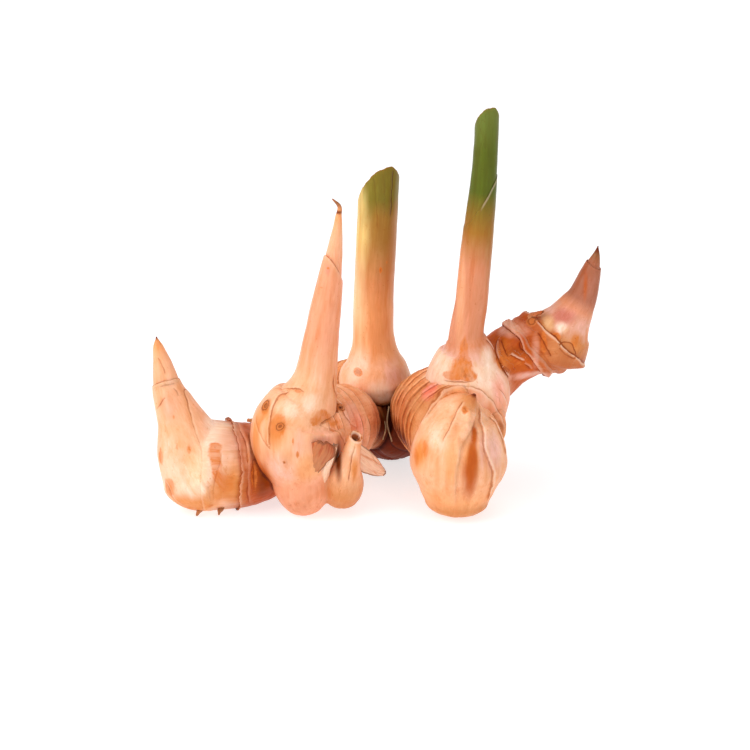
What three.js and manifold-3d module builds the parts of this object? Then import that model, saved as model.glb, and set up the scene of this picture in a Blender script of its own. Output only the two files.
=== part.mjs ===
// A fresh galangal root: one knobbly rhizome whose lobes turn up into shoots.
//
// Millimetres, +Z up. The root lies on the plane Z = 0 on the undersides of four lobes. Its length is
// along X and its two front lobes are towards -Y. The origin is on that plane, under the middle of the
// bounding box.
//
// Every lobe and shoot is a lathe-turned profile bent along a curved axis. The lobes are joined into one
// solid, the rhizome. Sheaths, spears, cut stems, buds, papery scales and root stubs are pieces of their
// own, each FIT_GAP clear of its neighbours.

import * as THREE from "three";
import { mergeVertices } from "three/addons/utils/BufferGeometryUtils.js";
import Module from "manifold-3d";

const wasm = await Module();
wasm.setup();

// ---- Driving dimensions ----------------------------------------------------------------------

const FIT_GAP = 0.3; // clear space between neighbouring pieces
const AROUND = 18; // facets around a lobe
const SHEATH_WALL = 0.7; // how far a sheath's lip stands proud of the spear inside it
const SCALE_THICKNESS = 0.9; // papery scale
const RING_PITCH = 5; // distance between leaf-scar rings on a lobe
const RING_STEP = 0.6; // height of one ring
const CAP_STEPS = 4; // sections in a rounded end
const REACH = 400; // longer than anything here, for the half-spaces that cut

// Each row is [x, y, z, radius]: a point on the lobe's axis, and the radius there.
const LEFT_NECK = [
  [-36, -8.5, 18, 11.5],
  [-44, -14.5, 16.5, 15],
  [-55, -20.5, 16.3, 17.4],
  [-69.3, -24.5, 17.6, 18.8],
];
const LEFT_LOBE = [
  [-70.6, -25, 17.5, 19.2],
  [-75.5, -25, 26.1, 15],
  [-79.5, -25, 37.5, 9.9],
  [-84.2, -25, 50, 6.5],
  [-86.4, -25, 62.4, 4.1],
  [-87.8, -25, 69.2, 2.4],
  [-88.3, -25, 73, 0.5],
];
const CENTRE_BODY = [
  [-31, -30, 33, 17.6],
  [-23.5, -16, 30, 17.8],
  [-14.7, -2, 27.2, 16.2],
  [-8, 12, 22, 11.5],
  [2, 23.5, 17, 11],
];
const CENTRE_LOBE = [
  [-30.5, -33, 14.9, 12.2],
  [-31.6, -32, 25, 17.4],
  [-31.9, -31, 34, 19.2],
  [-31.1, -30, 40, 18.2],
  [-29.8, -30, 44.5, 15.4],
  [-27.4, -30, 49, 11.8],
  [-24.9, -30, 57.4, 8.8],
  [-22, -30, 76, 6.9],
  [-20.3, -30, 87.7, 6.1],
  [-18.2, -30, 101, 4.8],
  [-15.9, -30, 116.6, 3],
  [-15.1, -30, 124.3, 1.9],
  [-14.8, -30, 128.5, 1.4],
  [-17.4, -30, 131.5, 0.6],
];
const REAR_KNOT = [
  [8, 23.5, 16, 14],
  [4.7, 28, 15.3, 15.7],
  [-4, 34, 21.6, 15],
  [-11.8, 39, 26.8, 14.3],
];
const MIDDLE_LOBE = [
  [-0.5, 25, 32.5, 14],
  [-0.9, 25, 37.3, 15.6],
  [-0.9, 25, 43.2, 13.6],
  [-1.1, 25, 46.8, 11.4],
  [-1.3, 25, 51.8, 9.5],
  [-1.6, 25, 57.6, 8.7],
  [-1.6, 25, 68.3, 8.5],
  [-1.1, 25, 82, 8.4],
  [0.5, 25, 118, 8.4],
  [1.2, 25, 140, 8.4],
];
const RIGHT_BODY = [
  [14, 19.5, 22, 8],
  [17, 13.5, 25.5, 12.5],
  [22.3, 4, 30, 18.2],
  [27.5, -7, 32.5, 20.4],
  [33, -25.5, 32.5, 20.4],
];
const TALL_LOBE = [
  [35.7, -10, 35.2, 17.3],
  [36.1, -10, 42.7, 18.5],
  [36.2, -10, 48.5, 17.6],
  [36.1, -10, 54, 15.4],
  [36.4, -10, 59, 12.9],
  [36.8, -10, 62.5, 10.6],
  [36.6, -10, 66.2, 8.5],
  [36.3, -10, 69.6, 7.1],
  [38.2, -10, 83.7, 6.6],
  [39.3, -10, 98.9, 6.5],
  [40.5, -10, 113.2, 6.2],
  [41.9, -10, 129.7, 5.6],
  [42.8, -10, 146, 5.1],
  [43.6, -10, 180, 4.9],
];
const FRONT_LOBE = [
  [32.4, -33, 9.9, 14.6],
  [32.8, -32.5, 20.3, 19.1],
  [32.9, -32.5, 26.4, 19.2],
  [33.3, -32.5, 32.5, 17.8],
  [33.9, -32.5, 38.5, 15],
  [34.6, -33, 43.9, 11],
  [35.8, -33.5, 47.3, 6],
  [37.4, -34, 49.3, 2.6],
  [39, -34.5, 51.7, 0.6],
];
const BRANCH_BODY = [
  [40, -1.5, 40, 11],
  [47.6, 0, 48.3, 11.6],
  [52.9, 1, 54.3, 12.3],
  [63.1, 1, 60.5, 12.7],
  [73.5, 0, 62.5, 13],
];
const BRANCH_LOBE = [
  [73.2, 0, 58, 12.8],
  [75.8, 0, 67, 12.1],
  [78.7, 0, 72.2, 9.2],
  [81.8, 0, 77.9, 7.1],
  [84, 0, 82.2, 5.7],
  [86.5, 0, 90.7, 4.2],
  [88.2, 0, 96.7, 2.8],
  [89.1, 0, 100.1, 1.6],
  [89.6, 0, 103.5, 0.4],
];
const SMALL_LOBE = [
  [-14, -32.5, 10.5, 8.5],
  [-12, -38.5, 15.5, 7.5],
  [-10.6, -41, 23.9, 4.2],
  [-9.2, -42.5, 30.3, 3.3],
  [-8, -43.5, 38.5, 2.7],
];

// Where a sheath or stem begins and ends: [point, direction], the direction being the way the shoot grows.
const CUTS = {
  leftFoot: [[-73.8, -35, 27.4], [-0.98, -0.13, -0.11]],
  leftLip: [[-84.6, -25, 54], [-0.25, 0.4, 0.88]],
  centreFoot: [[-28.6, -30, 48], [0.25, 0, 0.97]],
  centreLip: [[-17.7, -30, 105.5], [0.5, 0.05, 0.86]],
  middleFoot: [[-0.7, 25, 31], [0, 0, 1]],
  middleTop: [[0.6, 25, 121.8], [-0.61, 0.44, 0.66]],
  tallFoot: [[36, -10, 41], [0, 0, 1]],
  tallLip: [[41.6, -10, 127], [-0.5, -0.35, 0.8]],
  tallTop: [[43.2, -10, 158.5], [-0.61, 0.44, 0.66]],
  branchCollar: [[62.3, -10.5, 63.3], [0.61, 0.22, 0.76]],
  branchFoot: [[74.9, -11.5, 66.3], [0.69, 0.18, 0.7]],
  branchLip: [[88.2, 0, 95.5], [0.5, -0.1, 0.85]],
  frontFoot: [[34.2, -32.5, 42], [0.15, 0.1, 0.98]],
  smallFoot: [[-11.6, -39.5, 18.5], [0.15, -0.25, 0.95]],
};
// The slit down the front bud, between its left scale and its right scale.
const SLIT_LEFT = [[35.7, -47, 38.1], [-0.99, 0.09, 0.12]];
const SLIT_RIGHT = [[42.8, -44.5, 37.7], [0.97, 0.05, 0.24]];
const SCALE_FOOT = [[33, -32.5, 12], [0, 0, 1]];
const SCALE_TOP = [[34, -32.5, 45.5], [0, 0, 1]];
const COLLAR_START = [[-55.6, -20.4, 16.3], [-0.94, -0.34, 0]];
const COLLAR_END = [[-59.3, -21.7, 16.3], [-0.96, -0.28, 0]];

// Papery flaps: stations as above with half the width for the radius, and the direction the flap faces.
const FLAPS = {
  small_bud_scale_left: {
    path: [[-18.5, -47.5, 21, 3.4], [-20, -49.5, 27, 5.2], [-21, -51.5, 34, 5], [-20.5, -52.5, 38, 2.6]],
    facing: [0.1, -1, 0.2],
  },
  small_bud_scale_right: {
    path: [[-9, -28.5, 24.5, 3], [-4, -28.5, 21, 5], [1, -27.5, 16.5, 4], [4, -26.5, 13.5, 1]],
    facing: [0.5, -0.8, 0.4],
  },
  branch_papery_curl: {
    path: [[61, -3.5, 77.6, 1.2], [64.5, -4.5, 79, 1.5], [68.6, -6.5, 79.9, 0.7]],
    facing: [-0.3, -0.3, 0.9],
  },
};

// Dead stubs of roots, thick end first.
const ROOTS = {
  root_stub_front_a: [[-70.5, -32.5, 4, 1.6], [-73.2, -37.8, 1.1, 0.7]],
  root_stub_front_b: [[-63, -32.5, 3.5, 1.5], [-64.3, -37, 1, 0.6]],
  root_stub_back: [[-47, -22.5, 35.5, 1.6], [-52.5, -23, 36.6, 0.7]],
  root_thread_a: [[5, 11, 29.5, 0.5], [4.2, 6.5, 24, 0.5], [6.2, 5.5, 16, 0.4]],
  root_thread_b: [[3, 10, 24, 0.5], [3.6, 5.5, 22, 0.5], [2.4, 4.9, 17, 0.4]],
};

// ---- Solids ----------------------------------------------------------------------------------

const vector = ([x, y, z]) => new THREE.Vector3(x, y, z);

/** A closed geometry as a manifold solid, turned the right way out. */
function solidOf(geometry) {
  const bare = geometry.clone();
  bare.deleteAttribute("normal");
  bare.deleteAttribute("uv");
  const merged = mergeVertices(bare, 1e-4);
  const corners = merged.index.array;
  const kept = [];
  for (let i = 0; i < corners.length; i += 3) {
    const [a, b, c] = corners.slice(i, i + 3);
    if (a !== b && b !== c && c !== a) kept.push(a, b, c);
  }
  const solid = (triangles) =>
    new wasm.Manifold(
      new wasm.Mesh({
        numProp: 3,
        vertProperties: merged.attributes.position.array,
        triVerts: new Uint32Array(triangles),
      }),
    );
  const made = solid(kept);
  return made.volume() < 0 ? solid(kept.reverse()) : made;
}

/** A manifold solid as a three.js geometry. */
function geometryOf(solid) {
  const mesh = solid.getMesh();
  const geometry = new THREE.BufferGeometry();
  geometry.setAttribute("position", new THREE.BufferAttribute(mesh.vertProperties, 3));
  geometry.setIndex(new THREE.BufferAttribute(mesh.triVerts, 1));
  geometry.computeVertexNormals();
  return geometry;
}

/** Points along a lobe's axis, each with its radius. Rings are saw teeth: a slow rise, then a step down. */
function sectionsAlong(stations, { between, rings }) {
  const axis = new THREE.CatmullRomCurve3(stations.map(vector));
  const widths = stations.map(([, , , r], i) => new THREE.Vector3(20 * i, r, 0));
  const girth = new THREE.CatmullRomCurve3(widths);
  const section = (t, rise = 0) => ({
    point: axis.getPoint(t),
    tangent: axis.getTangent(t),
    radius: girth.getPoint(t).y + rise,
  });
  if (!rings) {
    const steps = (stations.length - 1) * between;
    return Array.from({ length: steps + 1 }, (_, i) => section(i / steps));
  }
  const count = Math.round(axis.getLength() / RING_PITCH);
  return Array.from({ length: count }, (_, i) => [
    section(axis.getUtoTmapping(i / count)),
    section(axis.getUtoTmapping((i + 0.85) / count), RING_STEP),
  ]).flat();
}

/** A half-ellipse of sections that closes an end: `side` is -1 before the first and 1 after the last. */
function cap(end, side, length) {
  return Array.from({ length: CAP_STEPS }, (_, i) => {
    const angle = (i / CAP_STEPS) * (Math.PI / 2);
    const beyond = side * length * end.radius * Math.cos(angle);
    return {
      point: end.point.clone().addScaledVector(end.tangent, beyond),
      tangent: end.tangent,
      radius: end.radius * Math.sin(angle),
    };
  });
}

/**
 * A lathe-turned profile bent along the stations' curve. `flat` is the thickness of a flap, whose
 * section is squashed towards the direction `facing`.
 */
function lobe(stations, options = {}) {
  const { grow = 0, between = 1, rings = false, start = 0.95, end = 0.5 } = options;
  const { around = AROUND, flat, facing } = options;
  const grown = stations.map(([x, y, z, r]) => [x, y, z, Math.max(r + grow, 0.3)]);
  const middle = sectionsAlong(grown, { between, rings });
  const sections = [...cap(middle[0], -1, start), ...middle, ...cap(middle.at(-1), 1, end).reverse()];

  const profile = sections.map(({ radius }, i) => new THREE.Vector2(radius, i));
  const geometry = new THREE.LatheGeometry(profile, around);

  const side = vector(facing ?? [0, 1, 0]).cross(sections[0].tangent).normalize();
  const turn = new THREE.Quaternion();
  const frames = sections.map(({ tangent }, i) => {
    const before = sections[Math.max(i - 1, 0)].tangent;
    side.applyQuaternion(turn.setFromUnitVectors(before, tangent));
    return { side: side.clone(), across: side.clone().cross(tangent) };
  });

  const position = geometry.attributes.position;
  const corner = new THREE.Vector3();
  for (let i = 0; i < position.count; i++) {
    corner.fromBufferAttribute(position, i);
    const at = Math.round(corner.y);
    const depth = flat ? Math.min(1, flat / 2 / Math.max(sections[at].radius, 0.01)) : 1;
    const moved = sections[at].point
      .clone()
      .addScaledVector(frames[at].side, corner.x)
      .addScaledVector(frames[at].across, corner.z * depth);
    position.setXYZ(i, moved.x, moved.y, moved.z);
  }
  return solidOf(geometry);
}

/** A block that fills everything on one side of a plane, from `lift` above it along its direction. */
function beyond([point, direction], side, lift) {
  const block = new THREE.BoxGeometry(REACH, REACH, REACH);
  block.translate(0, 0, (side * REACH) / 2 + lift);
  const normal = vector(direction).normalize();
  block.applyQuaternion(new THREE.Quaternion().setFromUnitVectors(new THREE.Vector3(0, 0, 1), normal));
  block.translate(...point);
  return solidOf(block);
}
const above = (cut, lift = FIT_GAP) => beyond(cut, 1, lift);
const below = (cut, lift = 0) => beyond(cut, -1, lift);
const GROUND = [[0, 0, 0], [0, 0, 1]];

// ---- The growing lobes, as whole solids ------------------------------------------------------

const ringed = { rings: true };
const grown = {
  left: (o) => lobe(LEFT_NECK, { ...o, end: 0.8 }).add(lobe(LEFT_LOBE, o)),
  centre: (o) => lobe(CENTRE_LOBE, { ...o, start: 1.26 }),
  middle: (o) => lobe(MIDDLE_LOBE, { ...o, start: 0.45 }),
  tall: (o) => lobe(TALL_LOBE, o),
  front: (o) => lobe(FRONT_LOBE, { ...o, start: 0.7 }),
  branch: (o) => lobe(BRANCH_LOBE, { ...o, start: 0.4 }),
  small: (o) => lobe(SMALL_LOBE, { around: 12, ...o }),
};

// ---- The rhizome -----------------------------------------------------------------------------

/** All the rhizome's lobes joined, each `grow` wider. Lobes that turn into shoots stop at their foot. */
function rhizomeSolid(grow) {
  const lobes = [
    grown.left({ grow }).intersect(below(CUTS.leftFoot, grow)),
    lobe(CENTRE_BODY, { ...ringed, grow }),
    grown.centre({ grow }).intersect(below(CUTS.centreFoot, grow)),
    lobe(REAR_KNOT, { grow, end: 0.9, between: 2 }),
    grown.middle({ grow }).intersect(below(CUTS.middleFoot, grow)),
    lobe(RIGHT_BODY, { ...ringed, grow, end: 0.25 }),
    grown.tall({ grow }).intersect(below(CUTS.tallFoot, grow)),
    grown.front({ grow }).intersect(below(CUTS.frontFoot, grow)),
    lobe(BRANCH_BODY, { ...ringed, grow }).intersect(below(CUTS.branchFoot, grow)),
    grown.branch({ grow }).intersect(below(CUTS.branchFoot, grow)),
    grown.small({ grow }).intersect(below(CUTS.smallFoot, grow)),
  ];
  return lobes.reduce((all, next) => all.add(next));
}

const rhizome = rhizomeSolid(0).intersect(above(GROUND, 0));
const clearance = rhizomeSolid(FIT_GAP);
// What a scale or a root stub has to keep clear of: the rhizome, and every lobe up to its tip.
const envelope = Object.values(grown).reduce((all, make) => all.add(make({ grow: FIT_GAP })), clearance);

// ---- Shoots, stems and buds ------------------------------------------------------------------

/** The stretch of a lobe from one cut to the next, clear of the rhizome. */
function stretch(solid, from, to) {
  const whole = solid.intersect(above(from)).intersect(above(GROUND, 0));
  return (to ? whole.intersect(below(to)) : whole).subtract(clearance);
}
const spear = { grow: -SHEATH_WALL };
const fine = { grow: -0.4 };

const frontBudRoom = grown.front({ grow: SCALE_THICKNESS + 2 * FIT_GAP });
const branchEnd = grown.branch({}).add(lobe(BRANCH_BODY, ringed));
const pieces = {
  rhizome,
  left_shoot_sheath: stretch(grown.left({}), CUTS.leftFoot, CUTS.leftLip),
  left_shoot_spear: stretch(grown.left(spear), CUTS.leftLip),
  centre_shoot_sheath: stretch(grown.centre({}), CUTS.centreFoot, CUTS.centreLip),
  centre_shoot_spear: stretch(grown.centre(spear), CUTS.centreLip),
  middle_stem: stretch(grown.middle({}), CUTS.middleFoot, CUTS.middleTop),
  tall_stem_sheath: stretch(grown.tall({}), CUTS.tallFoot, CUTS.tallLip).subtract(frontBudRoom),
  tall_stem: stretch(grown.tall(fine), CUTS.tallLip, CUTS.tallTop),
  right_shoot_sheath: stretch(branchEnd, CUTS.branchFoot, CUTS.branchLip),
  right_shoot_spear: stretch(grown.branch(fine), CUTS.branchLip),
  front_bud: stretch(grown.front({}), CUTS.frontFoot),
  small_bud: stretch(grown.small({}), CUTS.smallFoot),
};

/** The biggest of the bodies that a solid has fallen into. */
const bigger = (best, next) => (next.volume() > best.volume() ? next : best);
const largest = (solid) => solid.decompose().reduce(bigger);

// ---- Papery scales ---------------------------------------------------------------------------

/** A sheet wrapped round a lobe, clear of it. `make` is the lobe's maker. */
const wrap = (make, thickness = SCALE_THICKNESS) =>
  make({ grow: FIT_GAP + thickness }).subtract(make({ grow: FIT_GAP }));

const frontScales = wrap(grown.front)
  .intersect(above(SCALE_FOOT, 0))
  .intersect(below(SCALE_TOP, 0))
  .subtract(envelope);
pieces.front_bud_scale_left = frontScales.intersect(above(SLIT_LEFT, 0));
pieces.front_bud_scale_right = frontScales.intersect(above(SLIT_RIGHT, 0));

pieces.left_collar_scale = wrap(grown.left, 1.2)
  .intersect(above(COLLAR_START, 0))
  .intersect(below(COLLAR_END, 0))
  .intersect(above(GROUND, 0))
  .subtract(envelope);

const branchWrap = (thickness) =>
  wrap(({ grow }) => lobe(BRANCH_BODY, { grow: grow + RING_STEP + 0.1 }), thickness);
pieces.right_branch_collar = branchWrap(1.8)
  .intersect(above(CUTS.branchCollar, -3))
  .intersect(below(CUTS.branchCollar, 0))
  .subtract(envelope);
pieces.right_branch_scale = branchWrap(SCALE_THICKNESS)
  .intersect(above(CUTS.branchCollar))
  .intersect(below(CUTS.branchFoot, 0))
  .subtract(envelope);

// ---- Flaps and root stubs --------------------------------------------------------------------

for (const [name, { path, facing }] of Object.entries(FLAPS)) {
  pieces[name] = lobe(path, { around: 10, flat: SCALE_THICKNESS, facing }).subtract(envelope);
}
for (const [name, path] of Object.entries(ROOTS)) {
  pieces[name] = lobe(path, { around: 6, between: 2 }).intersect(above(GROUND, 0)).subtract(envelope);
}

// ---- The part --------------------------------------------------------------------------------

const COLOURS = {
  skin: [0xe9b791, 0.55],
  sheath: [0xf3bf98, 0.5],
  tip: [0x8a5a34, 0.7],
  green: [0x7c7d3a, 0.5],
  scale: [0xc98a55, 0.75],
  root: [0x9a6b45, 0.8],
};
const slotOf = (name) =>
  name === "rhizome" ? "skin"
  : name.startsWith("root_") ? "root"
  : /scale|collar|curl/.test(name) ? "scale"
  : /spear|small_bud/.test(name) ? "tip"
  : name === "tall_stem" ? "green"
  : "sheath";

const group = new THREE.Group();
for (const [name, solid] of Object.entries(pieces)) {
  const [color, roughness] = COLOURS[slotOf(name)];
  const mesh = new THREE.Mesh(
    geometryOf(largest(solid)),
    new THREE.MeshStandardMaterial({ color, roughness, metalness: 0, name: slotOf(name) }),
  );
  mesh.name = name;
  group.add(mesh);
}

export default group;
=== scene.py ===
# %% [markdown]
# # A fresh galangal root
#
# Galangal is a cousin of ginger. Its rhizome, the swollen stem that creeps underground, is knobbly and ringed with
# the scars of old scale leaves. Shoots turn up out of it, wrapped in smooth sheaths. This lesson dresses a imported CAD
# model of one root: each plain solid is replaced by a detailed skin, and the skins get procedural finishes.
#
# The frame comes first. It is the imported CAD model, and every new piece stands exactly where its solid is.

import math
from contextlib import contextmanager
from itertools import product

import bmesh
import bpy
import numpy as np
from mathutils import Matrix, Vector


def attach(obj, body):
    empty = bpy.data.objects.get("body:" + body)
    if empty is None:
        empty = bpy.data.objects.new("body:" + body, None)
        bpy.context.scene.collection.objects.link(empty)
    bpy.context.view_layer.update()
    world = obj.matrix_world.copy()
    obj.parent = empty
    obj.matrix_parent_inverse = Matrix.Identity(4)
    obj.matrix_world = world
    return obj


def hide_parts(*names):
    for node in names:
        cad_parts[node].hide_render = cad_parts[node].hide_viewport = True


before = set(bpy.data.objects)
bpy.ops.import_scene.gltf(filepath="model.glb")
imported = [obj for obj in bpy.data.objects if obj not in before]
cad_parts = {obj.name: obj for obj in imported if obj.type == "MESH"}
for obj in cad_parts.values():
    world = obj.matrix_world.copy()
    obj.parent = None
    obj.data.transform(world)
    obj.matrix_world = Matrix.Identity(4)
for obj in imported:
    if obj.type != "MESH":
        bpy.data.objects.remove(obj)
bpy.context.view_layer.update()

# %% [markdown]
# ## Camera, floor and light
#
# The camera comes before the pieces, because it says how large a detail has to be before anybody sees it. A long
# lens from 0.9 m away flattens the root a little, as in a studio. It looks down at 20 degrees.
#
# The light is what studios call high key: a white world all round, a large soft lamp above and to the left, and a
# white floor that bounces light back up. Shadows stay short and pale.

# %% Camera
MM = 0.001
LOOK_AT = Vector((-0.9, -30, 58.7)) * MM
ELEVATION = math.radians(20)
DISTANCE = 0.9

camera = bpy.data.objects.new("camera", bpy.data.cameras.new("camera"))
camera.data.lens = 108
camera.data.sensor_width = 36
back = Vector((0, -math.cos(ELEVATION), math.sin(ELEVATION)))
camera.location = LOOK_AT + back * DISTANCE
camera.rotation_euler = (-back).to_track_quat("-Z", "Y").to_euler()
bpy.context.scene.collection.objects.link(camera)
bpy.context.scene.camera = camera
bpy.context.scene.view_settings.view_transform = "Standard"
print("the camera stands at", [round(v, 3) for v in camera.location])

# %% Lamps and world
LAMPS = {
    "key": {"at": (-1.15, -0.62, 0.95), "size": 1.3, "watts": 16.5},
    "top": {"at": (0.1, -0.1, 1.6), "size": 1.4, "watts": 8},
    "fill": {"at": (0.9, -1.0, 0.5), "size": 1.0, "watts": 3},
}
for name, lamp in LAMPS.items():
    light = bpy.data.objects.new(name, bpy.data.lights.new(name, "AREA"))
    light.data.energy = lamp["watts"]
    light.data.size = lamp["size"]
    light.location = lamp["at"]
    light.rotation_euler = (LOOK_AT - light.location).to_track_quat("-Z", "Y").to_euler()
    bpy.context.scene.collection.objects.link(light)
world = bpy.data.worlds.new("studio")
world.use_nodes = True
world.node_tree.nodes["Background"].inputs["Strength"].default_value = 0.5
world.node_tree.nodes["Background"].inputs["Color"].default_value = (1, 1, 1, 1)
bpy.context.scene.world = world
print("lamps:", ", ".join(LAMPS))

# %% [markdown]
# ## Shader maths in plain Python
#
# A finish is a small graph of nodes. Wiring it by hand takes many lines, so one class stands for a socket and lets
# Python's own operators add the Math nodes, and another makes every other node from its type, settings and inputs.


# %% Wires and finishes
class Wire:
    """An output of a shader node. Arithmetic on it adds Math nodes."""

    def __init__(self, finish, socket):
        self.finish, self.socket = finish, socket

    def out(self, name):
        """Another output of the same node."""
        return Wire(self.finish, self.socket.node.outputs[name])

    def math(self, operation, *values):
        """A Math node on these values, or on this wire alone."""
        return self.finish.node("ShaderNodeMath", {"operation": operation}, dict(enumerate(values or (self,))))

    def __add__(self, other):
        return self.math("ADD", self, other)

    def __sub__(self, other):
        return self.math("SUBTRACT", self, other)

    def __rsub__(self, other):
        return self.math("SUBTRACT", other, self)

    def __mul__(self, other):
        return self.math("MULTIPLY", self, other)

    __radd__ = __add__
    __rmul__ = __mul__

    def size(self):
        """Its distance from zero."""
        return self.math("ABSOLUTE")

    def between(self, low, high):
        """0 below low, 1 above high and an S-curve in the middle. With low above high it falls instead."""
        if low > high:
            return 1 - self.between(high, low)
        settings = {"interpolation_type": "SMOOTHSTEP"}
        return self.finish.node("ShaderNodeMapRange", settings, {"Value": self, "From Min": low, "From Max": high})


class Finish:
    """A material with a Principled shader, built up node by node."""

    def __init__(self, name):
        self.material = bpy.data.materials.new(name)
        self.material.use_nodes = True
        self.tree = self.material.node_tree
        self.shader = self.tree.nodes["Principled BSDF"]

    def plug(self, socket, value):
        if isinstance(value, Wire):
            self.tree.links.new(value.socket, socket)
        elif socket.type == "RGBA" and len(value) == 3:
            socket.default_value = (*value, 1)
        else:
            socket.default_value = value

    def node(self, kind, settings=None, inputs=None, out=0):
        made = self.tree.nodes.new(kind)
        for key, value in (settings or {}).items():
            setattr(made, key, value)
        for key, value in (inputs or {}).items():
            self.plug(made.inputs[key], value)
        return Wire(self, made.outputs[out])

    def mix(self, share, first, second, blend="MIX"):
        """A colour between two others."""
        settings = {"data_type": "RGBA", "blend_type": blend}
        return self.node("ShaderNodeMix", settings, {0: share, 6: first, 7: second}, out=2)

    def attribute(self, name, out="Vector"):
        return self.node("ShaderNodeAttribute", {"attribute_name": name}, out=out)

    def split(self, vector):
        made = self.node("ShaderNodeSeparateXYZ", None, {0: vector})
        return made, made.out("Y"), made.out("Z")

    def scaled(self, vector, by):
        """A vector multiplied along each of its axes, which stretches the pattern that reads it."""
        return self.node("ShaderNodeVectorMath", {"operation": "MULTIPLY"}, {0: vector, 1: by})

    def noise(self, vector, per_metre, detail=2.0, rough=0.5, warp=0.0):
        values = {"Vector": vector, "Scale": per_metre, "Detail": detail, "Roughness": rough, "Distortion": warp}
        return self.node("ShaderNodeTexNoise", None, values)

    def bumped(self, height):
        """The normal of fine relief, 0.6 mm from a height of 0 to a height of 1."""
        return self.node("ShaderNodeBump", None, {"Strength": 1.0, "Distance": 0.0006, "Height": height})

    def surface(self, **inputs):
        """Plugs values or wires into the Principled shader. An underscore in a name stands for a space."""
        for key, value in inputs.items():
            self.plug(self.shader.inputs[key.replace("_", " ")], value)
        return self.material


def rgb(red, green, blue):
    """A colour as a screen shows it, 0 to 255, turned into the linear values that shaders use."""
    return tuple(((v / 255 + 0.055) / 1.055) ** 2.4 if v > 10 else v / 255 / 12.92 for v in (red, green, blue))


print("a mid grey on screen is", round(rgb(128, 128, 128)[0], 3), "in linear light")

# %% Floor
FLOOR_HALF = 5.0
floor_mesh = bpy.data.meshes.new("floor")
bm = bmesh.new()
bmesh.ops.create_grid(bm, x_segments=1, y_segments=1, size=FLOOR_HALF)
bm.to_mesh(floor_mesh)
bm.free()
floor = bpy.data.objects.new("floor", floor_mesh)
bpy.context.scene.collection.objects.link(floor)
paper = Finish("floor_paper")
grain = paper.noise(paper.node("ShaderNodeTexCoord", out="Object"), 3.0)
floor_mesh.materials.append(
    paper.surface(
        Base_Color=paper.mix(grain, rgb(190, 190, 192), rgb(194, 194, 196)), Roughness=0.9, Emission_Strength=0.66,
        Emission_Color=rgb(255, 255, 255),
    )
)
print("the floor is", 2 * FLOOR_HALF, "m across")

# %% [markdown]
# ## Lobes
#
# A rhizome grows as a chain of lobes, each swollen in the middle and turning up into a shoot. So a lobe is described
# the way it grows: points along its axis, each with its thickness. These rows are the CAD model's own, in
# millimetres, so that every skin lands on its solid. Between the rows a Catmull-Rom curve runs, the same kind that
# three.js uses.

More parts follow.
